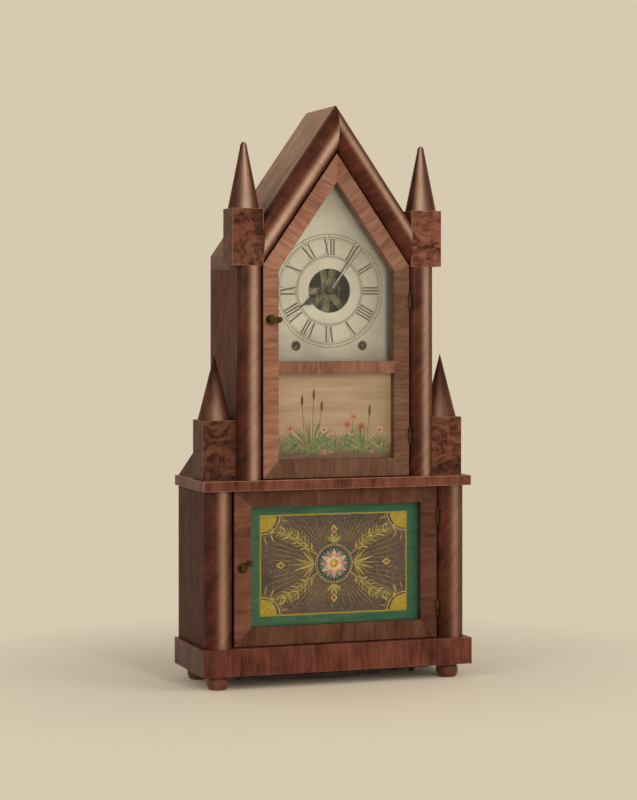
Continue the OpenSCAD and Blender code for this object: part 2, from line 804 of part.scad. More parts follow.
// A coil of round wire whose inner end is pinned in a cast base
module coil_gong() {
    steps = 22 * gong_turns;
    sides = 8;
    inner = gong_r - gong_turns * 6.5;
    mid = [0, shelf_top + gong_h];
    depth = back_t + 14;
    points = [for (k = [0:steps], j = [0:sides - 1])
        let (a = 360 * gong_turns * k / steps + 200, r = inner + (gong_r - inner) * k / steps,
             b = 360 * j / sides, q = r + gong_wire * cos(b))
        [mid[0] + q * cos(a), y_at(depth + gong_wire * sin(b)), mid[1] + q * sin(a)]];
    walls = [for (k = [0:steps - 1], j = [0:sides - 1])
        let (n = (j + 1) % sides, p = k * sides)
        [p + j, p + n, p + sides + n, p + sides + j]];
    ends = [[for (j = [sides - 1:-1:0]) j], [for (j = [0:sides - 1]) steps * sides + j]];
    color("#3c4654") polyhedron(points, concat(walls, ends), convexity = 8);
}

// The base stands on the backboard, and its head grips the inner end of the wire
module gong_base() {
    mid = [0, shelf_top + gong_h];
    inner = gong_r - gong_turns * 6.5;
    end = mid + inner * [cos(200), sin(200)];
    depth = back_t + 14;
    color("#2c2c30") {
        rod(mid, 8, back_t, back_t + 4);
        rod(mid, 3.5, back_t + 3, depth + 3);
        at_depth(depth - 3, depth + 3) strip(mid, mid + (end - mid) * 0.8, 5);
    }
}

// Leaf spring: a stack of leaves clamped in the middle, with two halves that lift
bolt_r = 3;
module spring_saddle() {
    color("#8a6a48") difference() {
        translate([-saddle_x + 1, y_at(spring_depth) - spring_w / 2, spring_top])
            cube([2 * saddle_x - 2, spring_w, floor_top - floor_t - spring_top]);
        translate([0, y_at(spring_depth), 0]) cylinder(r = bolt_r + fit, h = floor_top);
    }
    color("#55504a") {
        translate([0, y_at(spring_depth), spring_bottom - 1]) cylinder(r = bolt_r, h = floor_top + 6 - spring_bottom + 1);
        translate([0, y_at(spring_depth), floor_top]) cylinder(r = 6, h = 4, $fn = 6);
    }
}

module spring_middle() {
    color("#4b4a4c") difference() {
        for (k = [0:spring_leaves - 1])
            translate([-saddle_x, y_at(spring_depth) - spring_w / 2, spring_top - (k + 1) * spring_leaf_t])
                cube([2 * saddle_x, spring_w, spring_leaf_t]);
        translate([0, y_at(spring_depth), 0]) cylinder(r = bolt_r + fit, h = floor_top);
    }
}

module time_spring_half() { color("#4b4a4c") spring_half_stack(); }
module strike_spring_half() { color("#4b4a4c") mirror([1, 0, 0]) spring_half_stack(); }

module spring_half_stack() {
    for (k = [0:spring_leaves - 1])
        translate([saddle_x + 0.2, y_at(spring_depth) - spring_w / 2, spring_top - (k + 1) * spring_leaf_t])
            cube([leaf_reach(k) - saddle_x - 0.2, spring_w, spring_leaf_t]);
}

function leaf_reach(k) = spring_half - k * leaf_step;

// Iron brackets on the lower backboard, each with the stud that its lever turns on
module lever_brackets() {
    plate = [11, 24];
    screw_rise = 17;
    color("#3a3836") both_sides() {
        at_depth(back_t, back_t + 3) difference() {
            span([lever_x - plate[0], lever_z - plate[1]], [lever_x + plate[0], lever_z + plate[1]]);
            for (k = [-1, 1]) translate([lever_x, lever_z + screw_rise * k]) circle(2);
        }
        rod([lever_x, lever_z], lever_pin_r + 3, back_t + 2, spring_depth - lever_t / 2 - clear);
        rod([lever_x, lever_z], lever_pin_r, spring_depth - lever_t / 2 - 1, spring_depth + lever_t / 2 + 5);
    }
}

// A second-class lever: hub, two arms and the toothless sector that the chain lies on
module lever() {
    rim = rim_r - chain_r - clear;
    pin = [link_arm * cos(link_start), link_arm * sin(link_start)];
    half = lever_t / 2;
    difference() {
        translate([lever_x, 0, lever_z]) at_depth(spring_depth - half, spring_depth + half) {
            circle(lever_pin_r + 5);
            strip([0, 0], rim * [-0.96, 0], 7);
            strip([0, 0], rim * [cos(lever_start), sin(lever_start)] * 0.96, 7);
            translate(pin) circle(link_r + 4);
            strip([0, 0], pin, 8);
            intersection() {
                difference() {
                    circle(rim);
                    circle(rim - 6);
                }
                polygon([[0, 0], [-2 * rim, 0],
                         2 * rim * [cos(lever_start - 30), sin(lever_start - 30)],
                         2 * rim * [cos(lever_start), sin(lever_start)]]);
            }
        }
        rod([lever_x, lever_z], lever_pin_r + fit, 0, plinth_depth);
        rod(link_pin, link_r + fit, 0, plinth_depth);
    }
}

module time_lever() { color("#3a3836") lever(); }
module strike_lever() { color("#3a3836") mirror([1, 0, 0]) lever(); }

// A stirrup of round wire that hangs from its lever and carries the end of the main leaf
module link() {
    side = spring_w / 2 + link_r + 0.6;
    low = spring_top - spring_leaf_t - link_r - 0.4;
    for (k = [-1, 1]) translate([link_pin[0], y_at(spring_depth + k * side), low])
        cylinder(r = link_r, h = link_pin[1] - low);
    rod([link_pin[0], low], link_r, spring_depth - side, spring_depth + side);
    rod(link_pin, link_r, spring_depth - side, spring_depth + side);
    for (k = [-1, 1], z = [low, link_pin[1]])
        translate([link_pin[0], y_at(spring_depth + k * side), z]) sphere(link_r);
}

module time_link() { color("#55504a") link(); }
module strike_link() { color("#55504a") mirror([1, 0, 0]) link(); }

// The free stretch of each chain, which slides along itself between sector and drum
module winding_chains() {
    color("#6a665e") both_sides() translate([chain_x, y_at(spring_depth), lever_z])
        cylinder(r = chain_r, h = great_at[1] - lever_z);
}

// Wheel work
// A wheel or pinion blank with straight-sided teeth, one of them at the given angle
module toothed(teeth, m, phase, leaf = false) {
    pitch_r = teeth * m / 2;
    outer = pitch_r + (leaf ? 0.5 : 0.85) * m;
    root = pitch_r - (leaf ? 1.25 : 0.95) * m;
    step = 360 / teeth;
    wide = leaf ? 0.15 : 0.27;
    narrow = leaf ? 0.09 : 0.09;
    polygon([for (k = [0:teeth - 1], c = [[root, -wide], [outer, -narrow], [outer, narrow], [root, wide]])
        let (a = phase + step * (k + c[1])) c[0] * [cos(a), sin(a)]]);
}

function bearing(a, b) = atan2(b[1] - a[1], b[0] - a[0]);

// A spoked wheel that faces its pinion with a tooth
module wheel(at, teeth, m, layer, to, bore) {
    hub = 4;
    rim = teeth * m / 2 - 0.95 * m - 2.4;
    at_depth(layer[0], layer[1]) translate(at) difference() {
        toothed(teeth, m, bearing(at, to));
        difference() {
            circle(rim);
            circle(hub);
            for (k = [0:3]) rotate(90 * k + 20) translate([0, -1.4]) square([rim + 1, 2.8]);
        }
        if (bore > 0) circle(bore);
    }
}

// A pinion that faces its wheel with a gap
module pinion(at, teeth, m, from, to_depth, wheel_at) {
    at_depth(from, to_depth) translate(at)
        toothed(teeth, m, bearing(at, wheel_at) + 180 / teeth, true);
}

// The arbor of a train wheel, from plate to plate, with its pivots
module arbor(at, from, to) {
    rod(at, pivot_r, from, to);
    rod(at, 1.6, plate_depth + plate_t + 0.4, front_plate_depth - 0.4);
}

module centre_wheel() {
    color("#c09a4a") {
        wheel(centre_at, second_teeth, centre_m, centre_layer, third_at, 0);
        pinion(centre_at, centre_leaves, second_m, second_layer[0] - 1, second_layer[1] + 1, second_at);
        arbor(centre_at, plate_depth, minute_depth + hand_t + 1.2);
        pinion(centre_at, motion_teeth[0], motion_m, minute_layer[0] - 0.5, minute_layer[1] + 0.3, motion_at);
    }
}

module motion_wheel() {
    color("#c09a4a") difference() {
        union() {
            wheel(motion_at, motion_teeth[1], motion_m, minute_layer, centre_at, 0);
            pinion(motion_at, motion_teeth[2], motion_m, minute_layer[1] - 0.2, hour_layer[1] + 0.4, centre_at);
        }
        rod(motion_at, motion_stud_r + fit, 0, plinth_depth);
    }
}

module hour_wheel() {
    color("#c09a4a") difference() {
        union() {
            wheel(centre_at, motion_teeth[3], motion_m, hour_layer, motion_at, 0);
            rod(centre_at, 2.6, hour_layer[0], hour_depth + hand_t);
        }
        rod(centre_at, pivot_r + 3 * fit, 0, plinth_depth);
    }
}

// Hands: blued steel, each with a round boss on its arbor
hand_t = 0.8;
hour_depth = dial_depth + dial_t + 2.2;
minute_depth = hour_depth + hand_t + 1;

// A flat hand: a round boss with a bore, and a blade given by its right-hand outline
module hand(depth, angle, boss_r, bore_r, half_outline) {
    left = [for (k = [len(half_outline) - 1:-1:0]) [-half_outline[k][0], half_outline[k][1]]];
    color("#1c1c22") at_depth(depth, depth + hand_t) translate(centre_at) rotate(-angle) {
        difference() {
            circle(boss_r);
            circle(bore_r);
        }
        polygon(concat(half_outline, left));
    }
}

module minute_hand() {
    hand(minute_depth, minute_angle, 4.6, pivot_r,
         [[1.1, 3], [1.3, 20], [2.9, minute_l - 1.2], [2.2, minute_l]]);
}

// The hour hand's blade swells into a leaf two thirds of the way out
module hour_hand() {
    leaf = hour_l * 0.64;
    hand(hour_depth, hour_angle, 5.4, 2.6,
         [[1.4, 4], [1, leaf - 8], [3.2, leaf - 5], [4.4, leaf - 1], [3.6, leaf + 3],
          [1.2, leaf + 7], [0.6, hour_l]]);
}

// A great wheel turns loose on its winding arbor, between collars
module great(at, mate) {
    difference() {
        union() {
            wheel(at, great_teeth, great_m, great_layer, mate, 0);
            rod(at, 7, great_layer[0], great_layer[1] + 0.6);
        }
        rod(at, winding_r + fit, 0, plinth_depth);
    }
}

module time_great_wheel() { color("#c09a4a") great(great_at, second_at); }
module strike_great_wheel() { color("#c09a4a") great(strike_at, pin_at); }

// A winding drum with its squared arbor, which a key turns through the dial
module drum(at) {
    core = drum_r - chain_r - clear;
    drum_back = spring_depth - 8.4;
    rod(at, core, drum_back, spring_depth + 5);
    rod(at, drum_r + 3, drum_back, spring_depth - 4);
    rod(at, drum_r + 3, spring_depth + 4, spring_depth + 5.4);
    rod(at, winding_r, plate_depth, dial_depth - 6);
    at_depth(dial_depth - 6.5, dial_depth + 3) translate(at) square(2.8, center = true);
}

module time_drum() { color("#a8803a") drum(great_at); }
module strike_drum() { color("#a8803a") drum(strike_at); }

module train_wheel(at, teeth, m, layer, mate, pinion_m, driver, driver_layer, n) {
    wheel(at, teeth, m, layer, mate, 0);
    pinion(at, n, pinion_m, driver_layer[0] - 0.8, driver_layer[1] + 0.8, driver);
    arbor(at, plate_depth, front_plate_face);
}

module time_second_wheel() {
    color("#c09a4a") train_wheel(second_at, second_teeth, second_m, second_layer, centre_at,
                                 great_m, great_at, great_layer, leaves);
}

module time_third_wheel() {
    color("#c09a4a") train_wheel(third_at, third_teeth, third_m, third_layer, escape_at,
                                 centre_m, centre_at, centre_layer, leaves);
}

module strike_pin_wheel() {
    color("#c09a4a") {
        train_wheel(pin_at, pin_teeth, pin_m, pin_layer, fly_at, great_m, strike_at, great_layer, leaves);
        for (k = [0:9]) rod(pin_at + pin_ring * [cos(36 * k), sin(36 * k)], 0.7,
                            pin_layer[1] - 0.5, pin_layer[1] + 1.4);
    }
}

// Escape wheel with raked, pointed teeth
module escape_wheel() {
    step = 360 / escape_teeth;
    color("#c09a4a") {
        at_depth(escape_layer[0], escape_layer[1]) translate(escape_at) difference() {
            polygon([for (k = [0:escape_teeth - 1], c = [[escape_r - 2.2, 0], [escape_r, 0.45], [escape_r - 0.1, 0.55]])
                c[0] * [cos(step * (k + c[1])), sin(step * (k + c[1]))]]);
            difference() {
                circle(escape_r - 4.2);
                circle(3);
                for (k = [0:3]) rotate(90 * k) translate([0, -0.9]) square([escape_r, 1.8]);
            }
        }
        pinion(escape_at, leaves, third_m, third_layer[0] - 0.8, third_layer[1] + 0.8, third_at);
        arbor(escape_at, plate_depth, front_plate_face);
    }
}

// Steel strip anchor over the escape wheel, with its arbor and the crutch that meets the rod
module verge() {
    reach = escape_r * 0.82;
    color("#8a8c92") {
        at_depth(escape_layer[0] - 0.6, escape_layer[1] + 0.6) translate(verge_at) {
            circle(3);
            for (k = [-1, 1]) polygon([
                [0, 2], [k * (reach + 2), -verge_rise * 0.26], [k * (reach + 1.6), -verge_rise * 0.46],
                [k * reach, -verge_rise * 0.46], [k * reach, -verge_rise * 0.3], [0, -2]]);
        }
        arbor(verge_at, plate_depth, front_plate_face + 1.5);
        rod(verge_at, 2, front_plate_face + 0.4, front_plate_face + 2);
        at_depth(front_plate_face + 0.6, front_plate_face + 1.6) strip(verge_at, verge_at - [0, crutch_l], 1.6);
        for (k = [-1, 1]) rod(verge_at + [k * 1.7, -crutch_l], 0.5, front_plate_face + 0.6, pendulum_layer[1] + 0.8);
        at_depth(front_plate_face + 0.6, front_plate_face + 1.6)
            strip(verge_at + [-1.7, -crutch_l], verge_at + [1.7, -crutch_l], 1.2);
    }
}

// Pendulum: suspension spring, strip rod and a brass-faced bob
module pendulum() {
    bob_at = pendulum_at - [0, pendulum_l];
    color("#b5893f") {
        at_depth(pendulum_layer[0], pendulum_layer[1]) {
            span(pendulum_at - [0.7, pendulum_l], pendulum_at + [0.7, 0]);
        }
        translate([bob_at[0], y_at((pendulum_layer[0] + pendulum_layer[1]) / 2), bob_at[1]])
            rotate([90, 0, 0]) rotate_extrude() polygon([
                [0, -4], [bob_r * 0.5, -3.2], [bob_r * 0.85, -1.8], [bob_r, 0],
                [bob_r * 0.85, 1.8], [bob_r * 0.5, 3.2], [0, 4]]);
    }
}

// Two vanes of thin brass on the fast arbor of the strike train
module fly() {
    color("#c09a4a") {
        at_depth(57, 66) translate(fly_at) span([-15, -0.3], [15, 0.3]);
        rod(fly_at, 2.2, 57, 66);
        pinion(fly_at, leaves, pin_m, pin_layer[0] - 0.6, pin_layer[1] + 0.6, pin_at);
        arbor(fly_at, plate_depth, front_plate_face);
    }
}

// The hammer's arbor crosses the plates, and its wire runs down behind them to the gong
module hammer() {
    head = [-gong_r - 7.5, shelf_top + gong_h];
    elbow = [head[0], hammer_at[1] - 32];
    depth = back_t + 14;
    color("#8a8c92") {
        arbor(hammer_at, depth - 2, front_plate_face);
        at_depth(depth - 1.2, depth + 1.2) {
            strip(hammer_at, elbow, 2.4);
            strip(elbow, head, 2.4);
        }
        translate([head[0], y_at(depth), head[1]]) rotate([0, 90, 0]) cylinder(r = 5, h = 11, center = true);
        at_depth(pin_layer[1] + 0.4, pin_layer[1] + 1.6) strip(hammer_at, hammer_at + [8, 3], 2.4);
    }
}

plinth_rails();
ball_feet();
floor_board();
lower_sides();
backboards();
face_frame();
lower_columns();
waist_shelf();
shoulder_boards();
steeple_blocks();
spires();
upper_sides();
roof_boards();
gable_mouldings();
upper_columns();
dial_rails();
dial_plate();
back_plate();
front_plate();
coil_gong();
gong_base();
spring_saddle();
spring_middle();
lever_brackets();
winding_chains();
case_hinge_leaves();
upper_door_frame();
dial_glass();
upper_tablet();
upper_door_hinge_leaves();
upper_latch_rose();
upper_latch_turn();
lower_door_frame();
lower_tablet();
lower_door_hinge_leaves();
lower_latch_rose();
lower_latch_turn();
centre_wheel();
minute_hand();
motion_wheel();
hour_wheel();
hour_hand();
time_great_wheel();
time_second_wheel();
time_third_wheel();
escape_wheel();
verge();
pendulum();
time_drum();
strike_drum();
strike_great_wheel();
strike_pin_wheel();
fly();
hammer();
time_lever();
strike_lever();
time_link();
strike_link();
time_spring_half();
strike_spring_half();
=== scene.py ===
import itertools
import math
import random

import bmesh
import bpy
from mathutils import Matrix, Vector


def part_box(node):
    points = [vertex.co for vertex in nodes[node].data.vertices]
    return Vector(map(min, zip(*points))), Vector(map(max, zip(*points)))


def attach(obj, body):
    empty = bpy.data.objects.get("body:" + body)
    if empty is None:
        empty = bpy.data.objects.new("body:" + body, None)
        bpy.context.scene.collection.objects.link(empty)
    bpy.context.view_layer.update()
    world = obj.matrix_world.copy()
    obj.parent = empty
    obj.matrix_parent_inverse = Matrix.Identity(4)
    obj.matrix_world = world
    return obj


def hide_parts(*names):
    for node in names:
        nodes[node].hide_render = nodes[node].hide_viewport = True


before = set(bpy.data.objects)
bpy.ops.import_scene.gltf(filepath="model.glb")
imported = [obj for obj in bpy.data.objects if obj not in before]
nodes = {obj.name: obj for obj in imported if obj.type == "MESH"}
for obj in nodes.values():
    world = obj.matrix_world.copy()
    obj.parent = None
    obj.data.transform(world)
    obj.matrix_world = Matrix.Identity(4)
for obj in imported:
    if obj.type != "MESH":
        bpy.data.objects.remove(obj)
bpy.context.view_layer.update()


# The room: a pale floor that fades into a plain warm backdrop, a tall soft lamp almost straight in front of the clock,
# which the panes don't mirror, and a wide soft lamp on each side. The camera stands left of the clock, low, with its
# picture plane upright.
def colour(code):
    """A colour as written on a paint card, #rrggbb, as the shaders want it."""
    parts = [int(code[i : i + 2], 16) / 255 for i in (1, 3, 5)]
    return (*[p / 12.92 if p <= 0.04045 else ((p + 0.055) / 1.055) ** 2.4 for p in parts], 1.0)


def put(tree, kind, inputs=None, family="ShaderNode", **settings):
    """Adds one node to a tree, with its settings, its plain values or colours, and the sockets that feed it."""
    made = tree.nodes.new(family + kind)
    for name, value in settings.items():
        setattr(made, name, value)
    for key, value in (inputs or {}).items():
        socket = made.inputs[key]
        if isinstance(value, bpy.types.NodeSocket):
            tree.links.new(value, socket)
        else:
            socket.default_value = colour(value) if isinstance(value, str) else value
    return made


def reckon(tree, operation, first, second=0.0, third=0.0):
    return put(tree, "Math", {0: first, 1: second, 2: third}, operation=operation).outputs[0]


def widen(tree, value, low, high, floor=0.0, ceiling=1.0):
    """Spreads the range low..high of a value over floor..ceiling."""
    return put(tree, "MapRange", {0: value, 1: low, 2: high, 3: floor, 4: ceiling}).outputs[0]


def own_place(tree):
    """Places on the piece itself, in metres."""
    return put(tree, "TexCoord").outputs["Object"]


def fresh_material(name, **plain):
    """A material with one Principled shader, and its plain values set on the shader's own sockets."""
    material = bpy.data.materials.new(name)
    material.use_nodes = True
    shader = material.node_tree.nodes["Principled BSDF"]
    for key, value in plain.items():
        shader.inputs[key.replace("_", " ")].default_value = value
    return material, material.node_tree, shader


def see_through(tree, shader, share):
    """Lets this share of the light go straight through the material."""
    clear = put(tree, "BsdfTransparent").outputs[0]
    mixed = put(tree, "MixShader", {0: share, 1: shader.outputs[0], 2: clear})
    tree.links.new(mixed.outputs[0], tree.nodes["Material Output"].inputs["Surface"])


def placed(name, data):
    """A new object in the room."""
    made = bpy.data.objects.new(name, data)
    bpy.context.scene.collection.objects.link(made)
    return made


scene = bpy.context.scene
scene.view_settings.view_transform = "Standard"

world = bpy.data.worlds.new("room")
scene.world = world
world.use_nodes = True
sky = world.node_tree
ray = put(sky, "LightPath").outputs
seen = reckon(sky, "MAXIMUM", ray["Is Camera Ray"], ray["Is Glossy Ray"])
seen = reckon(sky, "MAXIMUM", seen, ray["Is Transmission Ray"])
ambient = put(sky, "Background", {"Color": (1.0, 0.98, 0.95, 1.0), "Strength": 0.3})
backdrop = put(sky, "Background", {"Color": "#d7cab1", "Strength": 1.0})
either = put(sky, "MixShader", {0: seen, 1: ambient.outputs[0], 2: backdrop.outputs[0]})
sky.links.new(either.outputs[0], sky.nodes["World Output"].inputs["Surface"])

floor_reach = 6.0
corners = [(x * floor_reach, y * floor_reach, 0) for x, y in ((-1, -1), (1, -1), (1, 1), (-1, 1))]
floor_mesh = bpy.data.meshes.new("floor")
floor_mesh.from_pydata(corners, [], [(0, 1, 2, 3)])
placed("floor", floor_mesh)
floor_paper, tree, shader = fresh_material("floor_paper", Roughness=1.0, Specular_IOR_Level=0.0)
shader.inputs["Base Color"].default_value = colour("#fff0d6")
far = put(tree, "VectorMath", {0: own_place(tree)}, operation="LENGTH").outputs["Value"]
fade_starts, fade_ends = 0.12, 0.58
see_through(tree, shader, widen(tree, far, fade_starts, fade_ends))
floor_mesh.materials.append(floor_paper)

# name, place, aims at, width, height, watts, colour, is mirrored
LAMPS = [
    ("front_strip", (0.14, -1.7, 0.55), (0, 0, 0.42), 0.2, 1.5, 14.0, (1.0, 0.97, 0.92), False),
    ("right_panel", (2.1, -1.9, 1.5), (0, 0, 0.4), 1.9, 1.9, 24.0, (1.0, 0.98, 0.94), True),
    ("left_panel", (-2.6, -1.2, 1.6), (0, 0, 0.4), 1.6, 1.6, 19.0, (1.0, 0.99, 0.97), True),
]
for name, at, aim, width, height, watts, tint, mirrored in LAMPS:
    lamp = bpy.data.lights.new(name, "AREA")
    lamp.shape, lamp.size, lamp.size_y = "RECTANGLE", width, height
    lamp.energy, lamp.color = watts, tint
    stand = placed(name, lamp)
    stand.location = at
    stand.rotation_euler = (Vector(aim) - Vector(at)).to_track_quat("-Z", "Y").to_euler()
    stand.visible_glossy = mirrored

lens = bpy.data.cameras.new("viewer")
lens.lens, lens.shift_y = 100.07, -0.111
viewer = placed("viewer", lens)
viewer.location = (-0.909, -2.579, 0.450)
viewer.rotation_euler = Vector((0.3305, 0.9438, 0)).to_track_quat("-Z", "Y").to_euler()
scene.camera = viewer


# The plinth: four rails of softwood mitred at the corners, faced with crotch mahogany laid crosswise, and French
# polished. Wear has paled the polish along the arrises, and a painted highlight pales them further. Blocks of plain
# pine are glued inside the corners.
def times(tree, first, second):
    return reckon(tree, "MULTIPLY", first, second)


def triple(tree, x=0.0, y=0.0, z=0.0):
    return put(tree, "CombineXYZ", {0: x, 1: y, 2: z}).outputs[0]


def stretch(tree, vector, scale):
    return put(tree, "VectorMath", {0: vector, 1: scale}, operation="MULTIPLY").outputs[0]


def scaled(tree, vector, factor):
    return put(tree, "VectorMath", {0: vector, "Scale": factor}, operation="SCALE").outputs[0]


def blend(tree, factor, low, high):
    return put(tree, "Mix", {0: factor, 6: low, 7: high}, data_type="RGBA").outputs[2]


def cloud(tree, vector, scale, detail=3.0, roughness=0.5, distortion=0.0):
    takes = {"Vector": vector, "Scale": scale, "Detail": detail, "Roughness": roughness, "Distortion": distortion}
    return put(tree, "TexNoise", takes).outputs["Fac"]


def effect(name, takes, gives, kind="ShaderNodeTree"):
    """A node group with named inputs, each with its start value, and outputs, and the sockets inside it."""
    group = bpy.data.node_groups.new(name, kind)
    for label, sort, start in takes:
        socket = group.interface.new_socket(label, in_out="INPUT", socket_type="NodeSocket" + sort)
        if start is not None:
            socket.default_value = start
    for label, sort in gives:
        group.interface.new_socket(label, in_out="OUTPUT", socket_type="NodeSocket" + sort)
    return group, group.nodes.new("NodeGroupInput").outputs, group.nodes.new("NodeGroupOutput").inputs


def give(tree, gives, *results):
    """Leads these results out of a node group, in the order of its outputs."""
    for result, socket in zip(results, gives):
        tree.links.new(result, socket)


WOOD_TAKES = (
    ("Wood", "Vector", (0, 0, 0)),
    ("Tone", "Float", 0.0),
    ("Light", "Color", (0.3, 0.1, 0.05, 1)),
    ("Dark", "Color", (0.05, 0.02, 0.01, 1)),
)
SURFACE_GIVES = (("Color", "Color"), ("Roughness", "Float"), ("Height", "Float"))
veneer_figure, takes, gives = effect(
    "veneer figure",
    (*WOOD_TAKES, ("Stripe", "Float", 0.01), ("Cloud", "Float", 0.5), ("Pores", "Float", 0.3)),
    SURFACE_GIVES,
)
tree = veneer_figure
bend = put(tree, "TexNoise", {"Vector": takes["Wood"], "Scale": 14.0, "Detail": 2.0}).outputs["Color"]
bend = put(tree, "VectorMath", {0: bend, 1: (0.5, 0.5, 0.5)}, operation="SUBTRACT").outputs[0]
sway = {0: bend, 1: (0.012, 0.018, 0.008), 2: takes["Wood"]}
bent = put(tree, "VectorMath", sway, operation="MULTIPLY_ADD").outputs[0]
across = reckon(tree, "DIVIDE", 1.0, takes["Stripe"])
spread = triple(tree, across, times(tree, across, 0.11), times(tree, across, 0.4))
bands = widen(tree, cloud(tree, stretch(tree, bent, spread), 1.0, 4.0, 0.62), 0.36, 0.64)
patches = widen(tree, cloud(tree, stretch(tree, bent, (30, 18, 24)), 1.0, 3.0, 0.6), 0.35, 0.65)
fibres = widen(tree, cloud(tree, stretch(tree, bent, (700, 36, 300)), 1.0, 2.0, 0.6), 0.3, 0.7)
bands_weigh, fibres_weigh = 0.6, 0.3
mixed = reckon(tree, "MULTIPLY_ADD", patches, takes["Cloud"], times(tree, bands, bands_weigh))
mixed = reckon(tree, "MULTIPLY_ADD", fibres, fibres_weigh, mixed)
share = reckon(tree, "DIVIDE", mixed, reckon(tree, "ADD", takes["Cloud"], bands_weigh + fibres_weigh))
pores = widen(tree, cloud(tree, stretch(tree, takes["Wood"], (2300, 150, 900)), 1.0, 1.0), 0.6, 0.72)
darker = reckon(tree, "SUBTRACT", 1.0, times(tree, pores, takes["Pores"]))
level = times(tree, darker, reckon(tree, "ADD", takes["Tone"], 1.0))
base = blend(tree, share, takes["Dark"], takes["Light"])
rough, relief = widen(tree, fibres, 0.0, 1.0, 0.36, 0.46), reckon(tree, "SUBTRACT", share, times(tree, pores, 0.8))
give(tree, gives, scaled(tree, base, level), rough, relief)


def raise_relief(tree, shader, relief, depth):
    raised = put(tree, "Bump", {"Distance": depth, "Height": relief})
    tree.links.new(raised.outputs[0], shader.inputs["Normal"])


def cover(tree, shader, skin):
    tree.links.new(skin, shader.inputs["Base Color"])


def surface(tree, shader, skin, rough, relief, depth):
    """Leads a colour, a roughness and a relief of this depth to the shader."""
    cover(tree, shader, skin)
    tree.links.new(rough, shader.inputs["Roughness"])
    raise_relief(tree, shader, relief, depth)


def figured(figure_group, name, light, dark, depth, highlight_and_dark_pair=None, figure_takes=None, **plain):
    """Wood that shows a figure. It reads the member's own wood coordinates, its tone and, where a pair of colours is
    given, the share in which it blends into them, which is a painted highlight on the crests and a darker tone low on
    the roof."""
    material, tree, shader = fresh_material(name, **plain)

    def own(label, output="Fac"):
        return put(tree, "Attribute", attribute_name=label).outputs[output]

    takes = {"Wood": own("wood", "Vector"), "Tone": own("tone"), "Light": light, "Dark": dark}
    takes.update(figure_takes or {})
    figure = put(tree, "Group", takes, node_tree=figure_group).outputs
    skin = figure["Color"]
    if highlight_and_dark_pair:
        halfway_colour, strongest_colour = highlight_and_dark_pair
        fade = own("fade")
        skin = blend(tree, times(tree, fade, 0.6), skin, halfway_colour)
        streaks = widen(tree, figure["Height"], 0.1, 0.75, 0.62, 1.0)
        strongest_share = times(tree, reckon(tree, "POWER", fade, 1.7), streaks)
        skin = blend(tree, strongest_share, skin, strongest_colour)
    surface(tree, shader, skin, figure["Roughness"], figure["Height"], depth)
    return material


def polished_wood(name, light, dark, stripe, clouds, pores, coat=0.5, sheen=0.12, highlight_and_dark_pair=None):
    """Veneer or solid wood under French polish."""
    return figured(
        veneer_figure, name, light, dark, 0.00006, highlight_and_dark_pair, {"Stripe": stripe, "Cloud": clouds, "Pores": pores},
        Specular_IOR_Level=sheen, Coat_Weight=coat, Coat_Roughness=0.34,
    )


def piece(made, body, slot, *stands_for):
    """Puts a finished object on its body and hides the CAD nodes that it stands for. The slot argument is not used."""
    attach(made, body)
    if stands_for:
        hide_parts(*stands_for)
    return made


def welded(source):
    """A CAD mesh with its loose triangles joined and its flat faces made whole."""
    bm = bmesh.new()
    bm.from_mesh(source)
    bmesh.ops.remove_doubles(bm, verts=bm.verts, dist=2e-6)
    bmesh.ops.dissolve_limit(bm, angle_limit=math.radians(0.3), verts=bm.verts, edges=bm.edges)
    return bm


def islands(bm):
    """The vertices of each loose member of a mesh."""
    left = set(bm.verts)
    while left:
        found, edge = set(), [left.pop()]
        while edge:
            v = edge.pop()
            found.add(v)
            for e in v.link_edges:
                w = e.other_vert(v)
                if w in left:
                    left.remove(w)
                    edge.append(w)
        yield sorted(found, key=lambda v: v.index)


EAST, NORTH, UP = Vector((1, 0, 0)), Vector((0, 1, 0)), Vector((0, 0, 1))
MOST_OF_THE_WAY = 0.7
TONE_SPREAD = 0.06
# An arris turns by more than the first angle. On a round member, an edge over the second stays crisp.
KEEN, SHARP = math.radians(38), math.radians(32)


